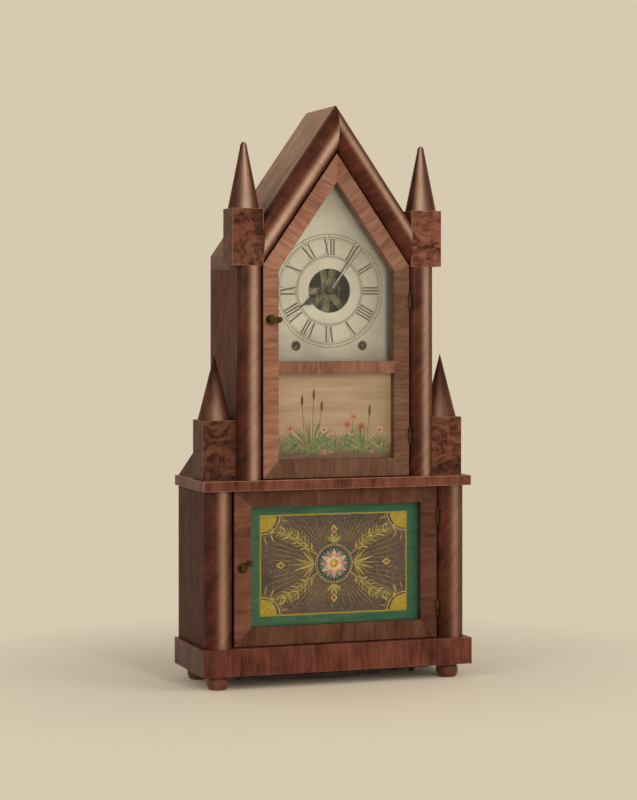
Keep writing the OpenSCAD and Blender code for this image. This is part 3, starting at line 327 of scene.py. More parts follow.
def members(
    node, slot, finish, fibre, seed, body="case", arris=0.0006, worn_and_highlit=None, tones=None, highlight_and_darkening_at=None, smooth=False
):
    """A CAD node with its corners merged and its arrises eased. Each loose member gets the wood's own coordinates, x
    across the fibre and y along it, shifted so that no two members show the same figure, and a tone of its own."""
    source = nodes[node].data
    mesh = bpy.data.meshes.new(node + "_wood")
    mesh.from_pydata([v.co for v in source.vertices], [], [p.vertices[:] for p in source.polygons])
    bm = welded(mesh)
    if arris:
        keen = [e for e in bm.edges if len(e.link_faces) == 2 and e.calc_face_angle(0) > KEEN]
        bmesh.ops.bevel(bm, geom=keen, offset=arris, segments=2, profile=0.6, affect="EDGES", clamp_overlap=True,
                        material=1 if worn_and_highlit else -1)
    bm.verts.index_update()
    wood = bm.verts.layers.float_vector.new("wood")
    tone = bm.verts.layers.float.new("tone")
    fade = bm.verts.layers.float.new("fade")
    chance = random.Random(seed)
    for member in sorted(islands(bm), key=lambda vs: tuple(round(c, 5) for c in vs[0].co)):
        middle = sum((v.co for v in member), Vector()) / len(member)
        longest = max((e for v in member for e in v.link_edges), key=lambda e: e.calc_length())
        run = (longest.verts[1].co - longest.verts[0].co).normalized()
        face = NORTH if abs(run.y) < MOST_OF_THE_WAY else EAST
        ways = {"along": run, "across": run.cross(face).normalized(), "up": UP}
        y = ways[fibre] if fibre in ways else Vector(fibre)
        z = face if abs(face.dot(y)) < MOST_OF_THE_WAY else EAST
        x = y.cross(z).normalized()
        shift = Vector([chance.uniform(-1, 1) for axis in "xyz"])
        own = chance.uniform(-TONE_SPREAD, TONE_SPREAD)
        for v in member:
            p = v.co - middle
            v[wood] = Vector((p.dot(x), p.dot(y), p.dot(z))) + shift
            v[tone] = tones(middle) if tones else own
            # The share of painted highlight, or of darkening low on the roof, that each vertex takes.
            v[fade] = highlight_and_darkening_at(middle, p) if highlight_and_darkening_at else 0.0
    bm.to_mesh(mesh)
    bm.free()
    mesh.materials.append(finish)
    if worn_and_highlit:
        mesh.materials.append(worn_and_highlit)
    if smooth:
        mesh.shade_smooth()
        mesh.set_sharp_from_angle(angle=SHARP)
    return piece(placed(node + "_finished", mesh), body, slot, node)


base_veneer = polished_wood("base_veneer", "#7c4434", "#220b06", 0.006, 0.9, 0.4, coat=0.1)
# The eased arrises: pale partly from wear, partly from a painted highlight.
worn_and_highlit_veneer = polished_wood("worn_and_highlit_veneer", "#b98767", "#8a5a44", 0.006, 0.4, 0.2, coat=0.1)
members("plinth_rails", "mahogany_base", base_veneer, "across", 4, worn_and_highlit=worn_and_highlit_veneer)


# The feet: four flattened balls turned in solid mahogany, stained dark and polished, each with a dowel that is glued
# into the corner block above it.
turned_mahogany = polished_wood("turned_mahogany", "#84503c", "#3f2017", 0.007, 0.4, 0.3)
members("ball_feet", "mahogany_dark", turned_mahogany, "up", 7, arris=0, smooth=True)


# The case under the veneer: floor, backboards and dial rails of plain planed pine that has browned with age, and
# sides of stained softwood under a thin finish.
def axes(tree, vector):
    return put(tree, "SeparateXYZ", {0: vector}).outputs


def planked(finish, width):
    """Splits a wood into boards of one width, each with a tone of its own and a dark joint beside it."""
    tree = finish.node_tree
    figure = next(node for node in tree.nodes if node.type == "GROUP").inputs
    wood = figure["Wood"].links[0].from_socket
    across = axes(tree, wood)["X"]
    board = reckon(tree, "FLOOR", reckon(tree, "DIVIDE", across, width))
    own = put(tree, "TexWhiteNoise", {"W": board}, noise_dimensions="1D").outputs["Value"]
    joint = widen(tree, reckon(tree, "PINGPONG", across, width / 2), 0.0002, 0.0008, 0.35, 1.0)
    tone = times(tree, widen(tree, own, 0.0, 1.0, 0.88, 1.12), joint)
    tree.links.new(reckon(tree, "SUBTRACT", tone, 1.0), figure["Tone"])
    return finish


board_width = 0.0835
pine = polished_wood("browned_pine", "#a9835c", "#7d5a3a", 0.01, 0.15, 0.3, coat=0.0, sheen=0.05)
back_pine = polished_wood("back_pine", "#a9805a", "#7f5b3c", 0.009, 0.12, 0.35, coat=0.0, sheen=0.05)
stained = polished_wood("stained_side_wood", "#70402e", "#3d1e13", 0.004, 0.12, 0.4, coat=0.0, sheen=0.03)
# The eased arrises of the sides and roof: pale partly from wear, partly from a painted highlight.
worn_and_highlit_side = polished_wood("worn_side_wood", "#8b6048", "#5d3829", 0.008, 0.3, 0.3, coat=0.0, sheen=0.04)
roof_wood = polished_wood("roof_wood", "#d6a98a", "#8f6a54", 0.005, 0.2, 0.4, coat=0.0, sheen=0.04,
                          highlight_and_dark_pair=("#6f4b3b", "#4c3026"))


def darker_low_on_roof(middle, place):
    """The roof boards are darker towards their lower ends."""
    clean_above, fades_over = 0.62, 0.15
    return min(max((clean_above - middle.z - place.z) / fades_over, 0.0), 1.0)


members("floor_board", "inner_wood", pine, "along", 9)
members("backboards", "inner_wood", planked(back_pine, board_width), "up", 12)
members("dial_rails", "inner_wood", pine, "along", 14)
members("lower_sides", "side_wood", stained, "up", 16, worn_and_highlit=worn_and_highlit_side, tones=lambda middle: -0.22)
members("upper_sides", "side_wood", stained, "up", 18, worn_and_highlit=worn_and_highlit_side, tones=lambda middle: 0.25)
members("shoulder_boards", "side_wood", stained, (0, 1, 0), 20, worn_and_highlit=worn_and_highlit_side)
members("roof_boards", "side_wood", roof_wood, "along", 22, worn_and_highlit=worn_and_highlit_side, highlight_and_darkening_at=darker_low_on_roof)


# The columns and the gable mouldings: half-rounds of softwood wrapped in dark crotch veneer whose plume runs aslant,
# French polished, with a long pale highlight painted along them where they face the room.
column_veneer = polished_wood("column_veneer", "#6a3524", "#1f0a05", 0.006, 0.7, 0.3, coat=0.18, sheen=0.06,
                              highlight_and_dark_pair=("#8f5840", "#cda88a"))
gable_lean = math.radians(55.3)
plume = (0.62, 0.0, 0.78)
waist = 0.3


def bell(most, at, crest, reach):
    return most * math.exp(-(((at - crest) / reach) ** 2))


def painted_crest_highlight(middle, place):
    """A painted highlight along the crest that faces the room, strongest on the upper columns."""
    most, reach = (0.8 if middle.z > waist else 0.6), 0.0064
    if middle.x > 0:
        most, reach = most * 0.84, (0.0056 if middle.z > waist else reach)
    return bell(most, place.x, 0.0026, reach)


def painted_slope_highlight(middle, place):
    """The same painted highlight along the crest of a sloping moulding."""
    aside = place.x * math.sin(gable_lean) + place.z * math.cos(gable_lean) * math.copysign(1, middle.x)
    most, reach = (0.95, 0.0058) if middle.x < 0 else (0.7, 0.0046)
    return bell(most, aside, 0.0045, reach)


members("face_frame", "mahogany_dark", column_veneer, "along", 24)
for node, fibre, seed, highlight_and_darkening_at in (("lower_columns", plume, 26, painted_crest_highlight), ("upper_columns", plume, 28, painted_crest_highlight),
                                 ("gable_mouldings", "across", 30, painted_slope_highlight)):
    members(node, "mahogany_dark", column_veneer, fibre, seed, smooth=True, highlight_and_darkening_at=highlight_and_darkening_at)


# The shelf between the tiers: a pine slab across the whole lower case, with its edges faced crosswise in dark
# mahogany like the plinth, polished, paled by wear along the arrises, and with a painted highlight on them too.
shelf_veneer = polished_wood("shelf_veneer", "#8a503d", "#2e140d", 0.006, 0.7, 0.4, coat=0.1)
members("waist_shelf", "mahogany_base", shelf_veneer, "up", 32, worn_and_highlit=worn_and_highlit_veneer)


# The steeple blocks: four square blocks faced with burl, and on each a spire turned in solid mahogany with a small
# rounded tip.
burl_figure, takes, gives = effect("burl figure", WOOD_TAKES, SURFACE_GIVES)
tree = burl_figure
swirl = cloud(tree, stretch(tree, takes["Wood"], (1.0, 1.5, 1.0)), 30.0, 4.0, 0.55, 2.2)
curls = cloud(tree, takes["Wood"], 120.0, 3.0, 0.6, 1.6)
eyes = put(tree, "TexVoronoi", {"Vector": takes["Wood"], "Scale": 210.0}).outputs["Distance"]
curls_weigh = 0.35
share = times(tree, widen(tree, swirl, 0.4, 0.6), 1 - curls_weigh)
share = reckon(tree, "MULTIPLY_ADD", widen(tree, curls, 0.38, 0.62), curls_weigh, share)
share = times(tree, share, reckon(tree, "MULTIPLY_ADD", widen(tree, eyes, 0.1, 0.32), 0.2, 0.8))
base = blend(tree, share, takes["Dark"], takes["Light"])
level = reckon(tree, "ADD", takes["Tone"], 1.0)
give(tree, gives, scaled(tree, base, level), widen(tree, share, 0.0, 1.0, 0.34, 0.44), share)

block_burl = figured(burl_figure, "block_burl", "#8e5841", "#3c1e15", 0.00004,
                     Specular_IOR_Level=0.05, Coat_Weight=0.05, Coat_Roughness=0.36)
spire_wood = polished_wood("spire_wood", "#6b3a28", "#28100a", 0.005, 0.4, 0.3, coat=0.15, sheen=0.06,
                           highlight_and_dark_pair=("#8f5840", "#cba98e"))


eaves = 0.45


# Painted light: the blocks on the right are lighter, where the light falls. The lower blocks are darker.
def block_tone(middle):
    return (-0.42 if middle.z < eaves else -0.18) + (0.24 if middle.x > 0 else 0.0)


def painted_cone_highlight(middle, place):
    """A painted highlight where a turned piece's round side faces the room."""
    around = math.atan2(place.x, -place.y)
    return bell(0.95 if middle.z > eaves else 0.6, around, -0.12 if middle.x < 0 else -0.42, 0.42)


members("steeple_blocks", "mahogany_burl", block_burl, "along", 34, worn_and_highlit=worn_and_highlit_veneer, tones=block_tone)
members("spires", "mahogany_dark", spire_wood, "up", 36, arris=0, smooth=True, highlight_and_darkening_at=painted_cone_highlight)


# The doors: mitred frames of softwood faced crosswise with lighter mahogany. Painted light makes the upper one lighter
# on the latch side, and painted shade makes the lower one darker, most on its hinge side. The upper one holds clear
# sheet glass over the dial and a painted tablet below it.
door_veneer = polished_wood("door_veneer", "#956a52", "#623c2c", 0.0045, 0.35, 0.4, coat=0.08)
red_veneer = polished_wood("red_door_veneer", "#9c654a", "#562c1e", 0.0055, 0.7, 0.4, coat=0.08)
# The eased arrises of the doors: pale partly from wear, partly from a painted highlight.
worn_and_highlit_door = polished_wood("worn_door_veneer", "#c49a7c", "#9a6c54", 0.006, 0.3, 0.2, coat=0.1)
gable_foot = 0.5


def is_rail(middle):
    return abs(middle.x) < 0.02


def painted_side_light(middle):
    """Painted light and shade: the rail under the dial or the bottom rail, then the gable member or the stile of each
    side.
    """
    if is_rail(middle):
        return 0.15 if middle.z > waist else -0.31
    if middle.x < 0:
        return 0.6 if middle.z > gable_foot else 0.48
    return 0.22 if middle.z > gable_foot else -0.25


def shaded_tone(middle):
    """The lower door is darker, most on its hinge side."""
    return -0.49 if is_rail(middle) else -0.28 if middle.x < 0 else -0.56


for door, finish, seed, tones in (
    ("upper_door", door_veneer, 38, painted_side_light),
    ("lower_door", red_veneer, 40, shaded_tone),
):
    members(door + "_frame", "mahogany_door", finish, "across", seed, door, worn_and_highlit=worn_and_highlit_door, tones=tones)


def dressed(finish, slot, *group):
    """CAD nodes that are right as they are take their finish."""
    for node in group:
        nodes[node].data.materials.clear()
        nodes[node].data.materials.append(finish)


glass, tree, shader = fresh_material("old_sheet_glass", Roughness=0.02, IOR=1.5, Transmission_Weight=1.0)
shader.inputs["Base Color"].default_value = (0.96, 0.98, 0.97, 1)
raise_relief(tree, shader, cloud(tree, own_place(tree), 22.0, 1.0), 0.0004)
ray = put(tree, "LightPath").outputs
see_through(tree, shader, reckon(tree, "MAXIMUM", ray["Is Shadow Ray"], ray["Is Diffuse Ray"]))
dressed(glass, "clear_glass", "dial_glass")


# The dial: a sheet of zinc painted off-white, with a hole in the middle that shows the movement, and two holes for the
# key. Painted shade darkens it towards its right edge and its top, next to the frame, and it is browner low down.
# Painted shade also lies in two soft rings either side of the hour figures. Its circles and hour figures are laid on
# in thin dark paint, the figures with their feet to the centre.
hub = Vector((0.0, 0.475))
dial_face = -0.0225
paint_coat = 0.00006
figure_foot, figure_head, figures_middle = 0.0437, 0.0628, 0.0535
circles = ((0.0403, 0.0004), (0.0419, 0.0006), (0.0653, 0.0005), (0.0690, 0.0008))

dial_paint, tree, shader = fresh_material("aged_dial_paint", Roughness=0.55, Specular_IOR_Level=0.2)
place = own_place(tree)
stain = widen(tree, cloud(tree, place, 16.0, 4.0, 0.6), 0.35, 0.7)
paint = blend(tree, stain, "#d9ceb5", "#c4b9a0")
apart = axes(tree, place)
ragged = widen(tree, cloud(tree, place, 30.0, 3.0), 0.3, 0.7, -0.012, 0.012)
sideways, upwards = (reckon(tree, "ADD", apart[axis], ragged) for axis in "XZ")
right = widen(tree, sideways, 0.0, 0.078)
low, peak = widen(tree, upwards, 0.436, 0.39), widen(tree, upwards, 0.545, 0.62)
# Painted shade towards the right edge and the top, and browning low down.
edge = reckon(tree, "MAXIMUM", times(tree, right, 0.95), reckon(tree, "MAXIMUM", low, peak))
paint = blend(tree, times(tree, edge, 0.55), paint, "#6f5f48")
centre = {0: place, 1: (hub.x, dial_face, hub.y)}
away = put(tree, "VectorMath", centre, operation="DISTANCE").outputs["Value"]
# Painted shade in two rings either side of the band of hour figures, as if the ring were dished.
dish = reckon(tree, "ABSOLUTE", reckon(tree, "SUBTRACT", away, figures_middle))
painted_dish_shade = times(tree, widen(tree, dish, 0.0075, 0.0115), widen(tree, dish, 0.0115, 0.0135, 1.0, 0.0))
paint = blend(tree, times(tree, painted_dish_shade, 0.38), paint, "#7d6a50")
specks = widen(tree, cloud(tree, place, 420.0, 2.0), 0.62, 0.75)
paint = blend(tree, times(tree, specks, 0.3), paint, "#8a7c62")
cover(tree, shader, paint)
raise_relief(tree, shader, cloud(tree, place, 900.0, 2.0), 0.00005)
dressed(dial_paint, "dial_paint", "dial_plate")


def brush(bm, line, widths, back, front, pigment=None, closed=False):
    """A stroke of paint along a line in x and z: a thin closed form from one depth to another."""
    corners = []
    last = len(line) - 1
    for i, here in enumerate(line):
        before = line[i - 1] if i or closed else here
        after = line[(i + 1) % len(line)] if i < last or closed else here
        ahead = (Vector(after) - Vector(before)).normalized()
        half = (widths[i] if isinstance(widths, (list, tuple)) else widths) / 2
        side = Vector((-ahead.y, ahead.x)) * half
        rim = ((-1, back), (1, back), (1, front), (-1, front))
        corners.append([bm.verts.new((here[0] + s * side.x, y, here[1] + s * side.y)) for s, y in rim])
    for i in range(len(line) if closed else last):
        a, b = corners[i], corners[(i + 1) % len(line)]
        for k in range(4):
            bm.faces.new((a[k], a[(k + 1) % 4], b[(k + 1) % 4], b[k]))
    if not closed:
        bm.faces.new(corners[0][::-1])
        bm.faces.new(corners[-1])
    if pigment is not None:
        layer = bm.verts.layers.float_color["pigment"]
        for v in itertools.chain(*corners):
            v[layer] = pigment


def painted(name, bm, body, slot, finish):
    """Ends a painted or turned mesh: faces outwards, and onto its body."""
    bmesh.ops.recalc_face_normals(bm, faces=bm.faces)
    mesh = bpy.data.meshes.new(name)
    bm.to_mesh(mesh)
    bm.free()
    mesh.materials.append(finish)
    return piece(placed(name, mesh), body, slot)


def ring(middle, radius, count=96, squeeze=1.0):
    """Points in x and z round a circle, from its top, or round an oval that is squeezed in height."""
    turns = [math.tau * i / count for i in range(count)]
    return [(middle[0] + radius * math.sin(t), middle[1] + radius * squeeze * math.cos(t)) for t in turns]


# Each letter is its width and its strokes: from, to, thickness. The heights run from the foot, 0, to the head, 1.
THICK, THIN, SERIF = 0.0021, 0.00065, 0.0005
LETTERS = {
    "I": (0.0037, [
        ((0.00185, 0), (0.00185, 1), THICK), ((0.0002, 0), (0.0035, 0), SERIF), ((0.0002, 1), (0.0035, 1), SERIF),
    ]),
    "V": (0.0079, [
        ((0.0019, 1), (0.0044, 0), THICK), ((0.0068, 1), (0.0048, 0), THIN),
        ((0.0002, 1), (0.0036, 1), SERIF), ((0.0057, 1), (0.0078, 1), SERIF),
    ]),
    "X": (0.0080, [
        ((0.0019, 1), (0.0061, 0), THICK), ((0.0066, 1), (0.0015, 0), THIN),
        ((0.0002, 1), (0.0036, 1), SERIF), ((0.0056, 1), (0.0077, 1), SERIF),
        ((0.0003, 0), (0.0026, 0), SERIF), ((0.0044, 0), (0.0078, 0), SERIF),
    ]),
}
bm = bmesh.new()
for hour, figure in enumerate(("XII", "I", "II", "III", "IIII", "V", "VI", "VII", "VIII", "IX", "X", "XI")):
    turn = math.tau * hour / 12
    out, along = Vector((math.sin(turn), math.cos(turn))), Vector((math.cos(turn), -math.sin(turn)))
    start = -sum(LETTERS[letter][0] for letter in figure) / 2
    for letter in figure:
        width, strokes = LETTERS[letter]
        for k, (foot, head, thickness) in enumerate(strokes):
            ends = [hub + along * (start + u) + out * (figure_foot + v * (figure_head - figure_foot))
                    for u, v in (foot, head)]
            brush(bm, ends, thickness, dial_face, dial_face - paint_coat * (1 - 0.15 * k))
        start += width
for radius, width in circles:
    brush(bm, ring(hub, radius), width, dial_face, dial_face - paint_coat, closed=True)
dial_ink, tree, shader = fresh_material("faded_black_paint", Roughness=0.6, Specular_IOR_Level=0.2)
thin_paint = widen(tree, cloud(tree, own_place(tree), 500.0, 3.0, 0.6), 0.4, 0.75)
cover(tree, shader, blend(tree, thin_paint, "#4b4439", "#7d7462"))
painted("dial_figures", bm, "case", "dial_paint", dial_ink)


# Studs: small round heads in rows, made by one Geometry Nodes tree. Here they are the twelve dots of dial paint
# between the outer circles. Beside them, brass eyelets are pressed into the winding holes.
def grow(tree, kind, inputs=None):
    return put(tree, kind, inputs, "GeometryNode").outputs[0]


def strewn(tree, takes, gives, instance):
    """Ends a tree: the same form on every place, made real, with its finish."""
    each = grow(tree, "InstanceOnPoints", {"Points": takes["Places"], "Instance": instance})
    each = grow(tree, "RealizeInstances", {0: each})
    give(tree, gives, grow(tree, "SetMaterial", {"Geometry": each, "Material": takes["Finish"]}))


stud_tree, takes, gives = effect(
    "studs",
    (("Places", "Geometry", None), ("Radius", "Float", 0.001), ("Rise", "Float", 0.0005), ("Finish", "Material", None)),
    (("Studs", "Geometry"),),
    "GeometryNodeTree",
)
head = grow(stud_tree, "MeshUVSphere", {"Segments": 12, "Rings": 6, "Radius": 1.0})
flat = triple(stud_tree, takes["Radius"], takes["Rise"], takes["Radius"])
head = grow(stud_tree, "Transform", {"Geometry": head, "Scale": flat})
strewn(stud_tree, takes, gives, head)


def grown(name, places, tree, body, slot, finish, *stands_for, **inputs):
    """Runs a Geometry Nodes tree on these places, keeps the result as a plain mesh, and puts it on its body."""
    mesh = bpy.data.meshes.new(name)
    mesh.from_pydata(places, [], [])
    made = placed(name, mesh)
    modifier = made.modifiers.new(name, "NODES")
    modifier.node_group = tree
    sockets = {item.name: item.identifier for item in tree.interface.items_tree if item.in_out == "INPUT"}
    for label, value in {"Finish": finish, **inputs}.items():
        modifier[sockets[label]] = value
    result = bpy.data.meshes.new_from_object(made.evaluated_get(bpy.context.evaluated_depsgraph_get()))
    made.modifiers.clear()
    made.data = result
    result.shade_smooth()
    return piece(made, body, slot, *stands_for)


dots = [(x, dial_face, z) for x, z in ring(hub, 0.06715, 12)]
grown("dial_dots", dots, stud_tree, "case", "dial_paint", dial_ink, Radius=0.0008, Rise=0.00012)


def turned(bm, profile, middle, face, count=48):
    """A closed turned form on a face, about an axis along y: its profile is radius and depth, all round."""
    hoops = [[bm.verts.new((x, face + y, z)) for x, z in ring(middle, radius, count)] for radius, y in profile]
    for k, a in enumerate(hoops):
        b = hoops[(k + 1) % len(hoops)]
        for i in range(count):
            j = (i + 1) % count
            bm.faces.new((a[i], a[j], b[j], b[i]))


eyelet = [(0.0047, 0.0), (0.0047, -0.0005), (0.005, -0.0008), (0.0055, -0.0009), (0.006, -0.0006), (0.0062, 0.0)]
bm = bmesh.new()
for winding_hole in ((-0.043, 0.408), (0.043, 0.408)):
    turned(bm, eyelet, winding_hole, dial_face)
eyelet_brass, tree, shader = fresh_material("browned_eyelet", Metallic=0.7, Roughness=0.45)
worn_spots = widen(tree, cloud(tree, own_place(tree), 500.0, 3.0), 0.35, 0.65)
cover(tree, shader, blend(tree, worn_spots, "#4d4538", "#857a60"))
painted("winding_eyelets", bm, "case", "brass", eyelet_brass).data.shade_smooth()


# The upper tablet: a pane painted with a plain country view. The sky is tan, brushed in level streaks, with brown
# earth along the foot. Grass, reeds and field flowers are laid over it in thin strokes.
pane_face = -0.04
half_pane = 0.0735
earth_top, grass_foot = 0.2815, 0.2825
GREENS = ("#4f6a48", "#5f7a50", "#6d7a48", "#3f6048", "#7d8050")
STRAWS = ("#8c7a4c", "#8a7450", "#79683f", "#a08a5e")


def under_glass(name):
    """Paint seen through the glossy face of its pane."""
    return fresh_material(name, Roughness=0.6, Specular_IOR_Level=0.2, Coat_Weight=0.35, Coat_Roughness=0.08)


view_ground, tree, shader = under_glass("country_view_ground")
place = own_place(tree)
apart = axes(tree, place)
streaks = widen(tree, cloud(tree, stretch(tree, place, (9, 1, 95)), 1.0, 4.0, 0.6), 0.32, 0.7)
sky_paint = blend(tree, streaks, "#ba9b78", "#9d8163")
# Painted shade darkens the sky towards the right, next to the frame.
painted_shade_right = widen(tree, apart["X"], 0.01, 0.085)
sky_paint = blend(tree, times(tree, painted_shade_right, 0.35), sky_paint, "#86714f")
soil = widen(tree, cloud(tree, stretch(tree, place, (60, 1, 160)), 1.0, 4.0, 0.65), 0.35, 0.68)
soil_paint = blend(tree, soil, "#7d6048", "#5f4b3a")
uneven = widen(tree, cloud(tree, stretch(tree, place, (55, 1, 10)), 1.0, 3.0), 0.3, 0.7, -0.0035, 0.0035)
below = widen(tree, reckon(tree, "ADD", apart["Z"], uneven), earth_top + 0.003, earth_top)
cover(tree, shader, blend(tree, below, sky_paint, soil_paint))
dressed(view_ground, "upper_painting", "upper_tablet")

pigments, tree, shader = under_glass("tablet_pigments")
own = put(tree, "Attribute", attribute_name="pigment").outputs["Color"]
thin = widen(tree, cloud(tree, own_place(tree), 260.0, 3.0, 0.6), 0.3, 0.7, 0.72, 1.18)
cover(tree, shader, scaled(tree, own, thin))


def sheet_of_paint():
    bm = bmesh.new()
    bm.verts.layers.float_color.new("pigment")
    return bm


def sprig(root, height, lean, width=0.0, droop=0.0, steps=6):
    """The line and widths of a blade: it rises, leans and droops, and thins to its tip."""
    sag = 0.28 * abs(droop) / 0.01
    line, widths = [], []
    for i in range(steps + 1):
        t = i / steps
        line.append((root[0] + lean * t + droop * t * t * math.copysign(1, lean), root[1] + height * (t - sag * t * t)))
        widths.append(max(width * (1 - t) ** 0.7 * (0.6 + 1.2 * t * (1 - t)), 0.00012))
    return line, widths


strokes = itertools.count()
lowest_coat, each_layer, each_stroke, heights_in_use = 0.00003, 0.000014, 0.0000005, 26


def height(layer):
    """Later layers lie over earlier ones, and strokes that follow each other never lie at quite the same height."""
    return lowest_coat + each_layer * layer + each_stroke * (next(strokes) % heights_in_use)


def lay(bm, line, widths, pigment, layer, closed=False):
    """A stroke on a pane's face."""
    brush(bm, line, widths, pane_face, pane_face - height(layer), colour(pigment), closed)


def off(start, toward, far):
    """The point this far from another, in a direction that turns clockwise from straight up."""
    return (start[0] + math.sin(toward) * far, start[1] + math.cos(toward) * far)


def petal(bm, foot, toward, length, width, pigment, layer):
    """A leaf or petal: a short stroke, full in the middle and pointed at both ends."""
    end = off(foot, toward, length)
    line = [(foot[0] + (end[0] - foot[0]) * t, foot[1] + (end[1] - foot[1]) * t) for t in (0, 0.2, 0.45, 0.7, 0.88, 1)]
    lay(bm, line, [width * k for k in (0.15, 0.75, 1.0, 0.8, 0.45, 0.06)], pigment, layer)


def dab(bm, outline, pigment, layer):
    """A patch of paint: a closed outline on the pane's face, with a thin edge."""
    front = pane_face - height(layer)
    rear = [bm.verts.new((x, pane_face, z)) for x, z in outline]
    fore = [bm.verts.new((x, front, z)) for x, z in outline]
    bm.faces.new(rear)
    bm.faces.new(fore[::-1])
    for i in range(len(outline)):
        j = (i + 1) % len(outline)
        bm.faces.new((rear[i], fore[i], fore[j], rear[j]))
    for v in rear + fore:
        v[bm.verts.layers.float_color["pigment"]] = colour(pigment)


def disc(bm, middle, radius, pigment, layer, squeeze=1.0, count=18):
    """A round or flattened dab."""
    dab(bm, ring(middle, radius, count, squeeze), pigment, layer)


chance = random.Random(1846)
bm = sheet_of_paint()
for i in range(900):
    x = chance.uniform(-half_pane, half_pane)
    thick = 0.6 + 0.4 * math.sin(x * 70 + 1.2) + (0.5 if abs(x - 0.02) < 0.03 or x < -0.06 else 0.0)
    tall = chance.uniform(0.005, 0.0125) * (0.7 + 0.5 * thick)
    root = (x, earth_top + chance.uniform(-0.0045, 0.0025) + 0.0012 * math.sin(x * 90))
    line, widths = sprig(root, tall, chance.uniform(-0.003, 0.003), chance.uniform(0.0007, 0.0015), steps=4)
    lay(bm, line, widths, chance.choice(GREENS + STRAWS[:2]), 1 + i % 5)
TUFTS = ((-0.03, 52, 0.048), (0.036, 46, 0.036), (0.002, 26, 0.024), (-0.058, 20, 0.02), (0.06, 22, 0.022))
for middle, count, tallest in TUFTS:
    for i in range(count):
        fan = chance.uniform(-1, 1)
        tall = tallest * (1 - 0.5 * abs(fan)) * chance.uniform(0.7, 1)
        thick = chance.uniform(0.0013, 0.0024)
        line, widths = sprig((middle + 0.007 * fan, grass_foot), tall, 0.026 * fan, thick, 0.011 * abs(fan), 7)
        lay(bm, line, widths, chance.choice(GREENS + STRAWS), 5 + i % 6)
REEDS = ((-0.037, 0.057, -0.004), (-0.029, 0.064, 0.003), (-0.022, 0.05, 0.006), (0.041, 0.044, 0.005))
for x, tall, lean in REEDS:
    stem, _ = sprig((x, grass_foot), tall, lean)
    lay(bm, stem, 0.0007, "#6f6a42", 10)
    head = [(stem[-1][0] + aside, stem[-1][1] + up)
            for aside, up in ((0, -0.004), (0, 0), (0.0002, 0.006), (0.0003, 0.0085), (0.0003, 0.008), (0.0005, 0.013))]
    lay(bm, head[:4], [0.001, 0.0031, 0.003, 0.0008], "#6e4730", 12)
    lay(bm, head[4:], [0.0005, 0.0002], "#8a7450", 11)
FLOWERS = (
    (0.012, 0.03, 0.005, "#a9684c"), (0.021, 0.039, 0.004, "#b98060"), (0.029, 0.027, 0.006, "#a05f48"),
    (-0.009, 0.024, -0.004, "#c39a76"), (-0.052, 0.026, -0.004, "#b98060"), (0.056, 0.023, 0.003, "#c39a76"),
)
for x, tall, lean, tint in FLOWERS:
    stem, _ = sprig((x, grass_foot), tall, lean)
    lay(bm, stem, 0.0006, "#5f6a40", 10)
    for side in (-1, 1):
        petal(bm, stem[2], side * 0.9, 0.008, 0.0022, "#5f7a50", 11)
        petal(bm, stem[3], side * 0.7, 0.006, 0.0018, "#6d7a48", 11)
    for k in range(9):
        petal(bm, stem[-1], math.tau * k / 9 + x * 40, 0.0052, 0.0024, tint, 12 + k % 2)
    disc(bm, stem[-1], 0.0013, "#6b4a2c", 15)
STONES = ((-0.012, 0.2795, 0.008, "#8b6a52"), (-0.002, 0.278, 0.006, "#76593f"), (0.05, 0.2785, 0.007, "#83654d"))
for x, z, size, tint in STONES:
    disc(bm, (x, z), size, tint, 8, 0.5)
    disc(bm, (x - size * 0.2, z + size * 0.16), size * 0.55, "#a1836a", 9, 0.4)
painted("country_view", bm, "upper_door", "upper_painting", pigments)


# The lower tablet: a pane with a green border and a fine gold line. On its mauve-brown ground, gold bronze powder
# was laid through stencils: a round flower in the middle, fern sprays, lozenges and quarter fans in the corners.
middle = Vector((0.0, 0.1443))
half_w, half_h = 0.1088, 0.072
band_side, band_level = 0.014, 0.011
gold_line = 0.0018
field_w, field_h = half_w - band_side - gold_line, half_h - band_level - gold_line
GOLDS = ("#8a7738", "#9a8746", "#7a682c", "#a59358")

stencil_ground, tree, shader = under_glass("stencil_ground")
place = own_place(tree)
apart = axes(tree, place)
from_middle = reckon(tree, "ABSOLUTE", reckon(tree, "SUBTRACT", apart["Z"], middle.y))
from_end = reckon(tree, "SUBTRACT", reckon(tree, "SUBTRACT", half_h, from_middle), band_level)
from_side = reckon(tree, "SUBTRACT", half_w, reckon(tree, "ABSOLUTE", apart["X"]))
from_side = reckon(tree, "SUBTRACT", from_side, band_side)
uneven = widen(tree, cloud(tree, place, 70.0, 2.0), 0.3, 0.7, -0.0002, 0.0002)
inside = reckon(tree, "ADD", reckon(tree, "MINIMUM", from_side, from_end), uneven)
in_field = widen(tree, inside, 0.0, 0.0004)
past_gold = widen(tree, inside, gold_line - 0.0002, gold_line + 0.0002)
brushed = widen(tree, cloud(tree, stretch(tree, place, (30, 1, 160)), 1.0, 4.0, 0.6), 0.34, 0.68)
green = blend(tree, brushed, "#426a46", "#2a503a")
shaded = widen(tree, apart["X"], -0.05, 0.11)
green = blend(tree, times(tree, shaded, 0.5), green, "#24563e")
powder = widen(tree, cloud(tree, place, 700.0, 3.0, 0.7), 0.36, 0.64)
gold = blend(tree, powder, "#8d7628", "#b2952f")
dusk = widen(tree, cloud(tree, place, 34.0, 4.0, 0.6), 0.34, 0.68)
mauve = blend(tree, dusk, "#5a493d", "#443833")
loose = widen(tree, cloud(tree, stretch(tree, place, (240, 1, 240)), 1.0, 4.0, 0.7), 0.5, 0.68)
mauve = blend(tree, times(tree, loose, 0.45), mauve, "#8f7c46")
field = blend(tree, past_gold, gold, mauve)
cover(tree, shader, blend(tree, in_field, green, field))
dressed(stencil_ground, "lower_painting", "lower_tablet")

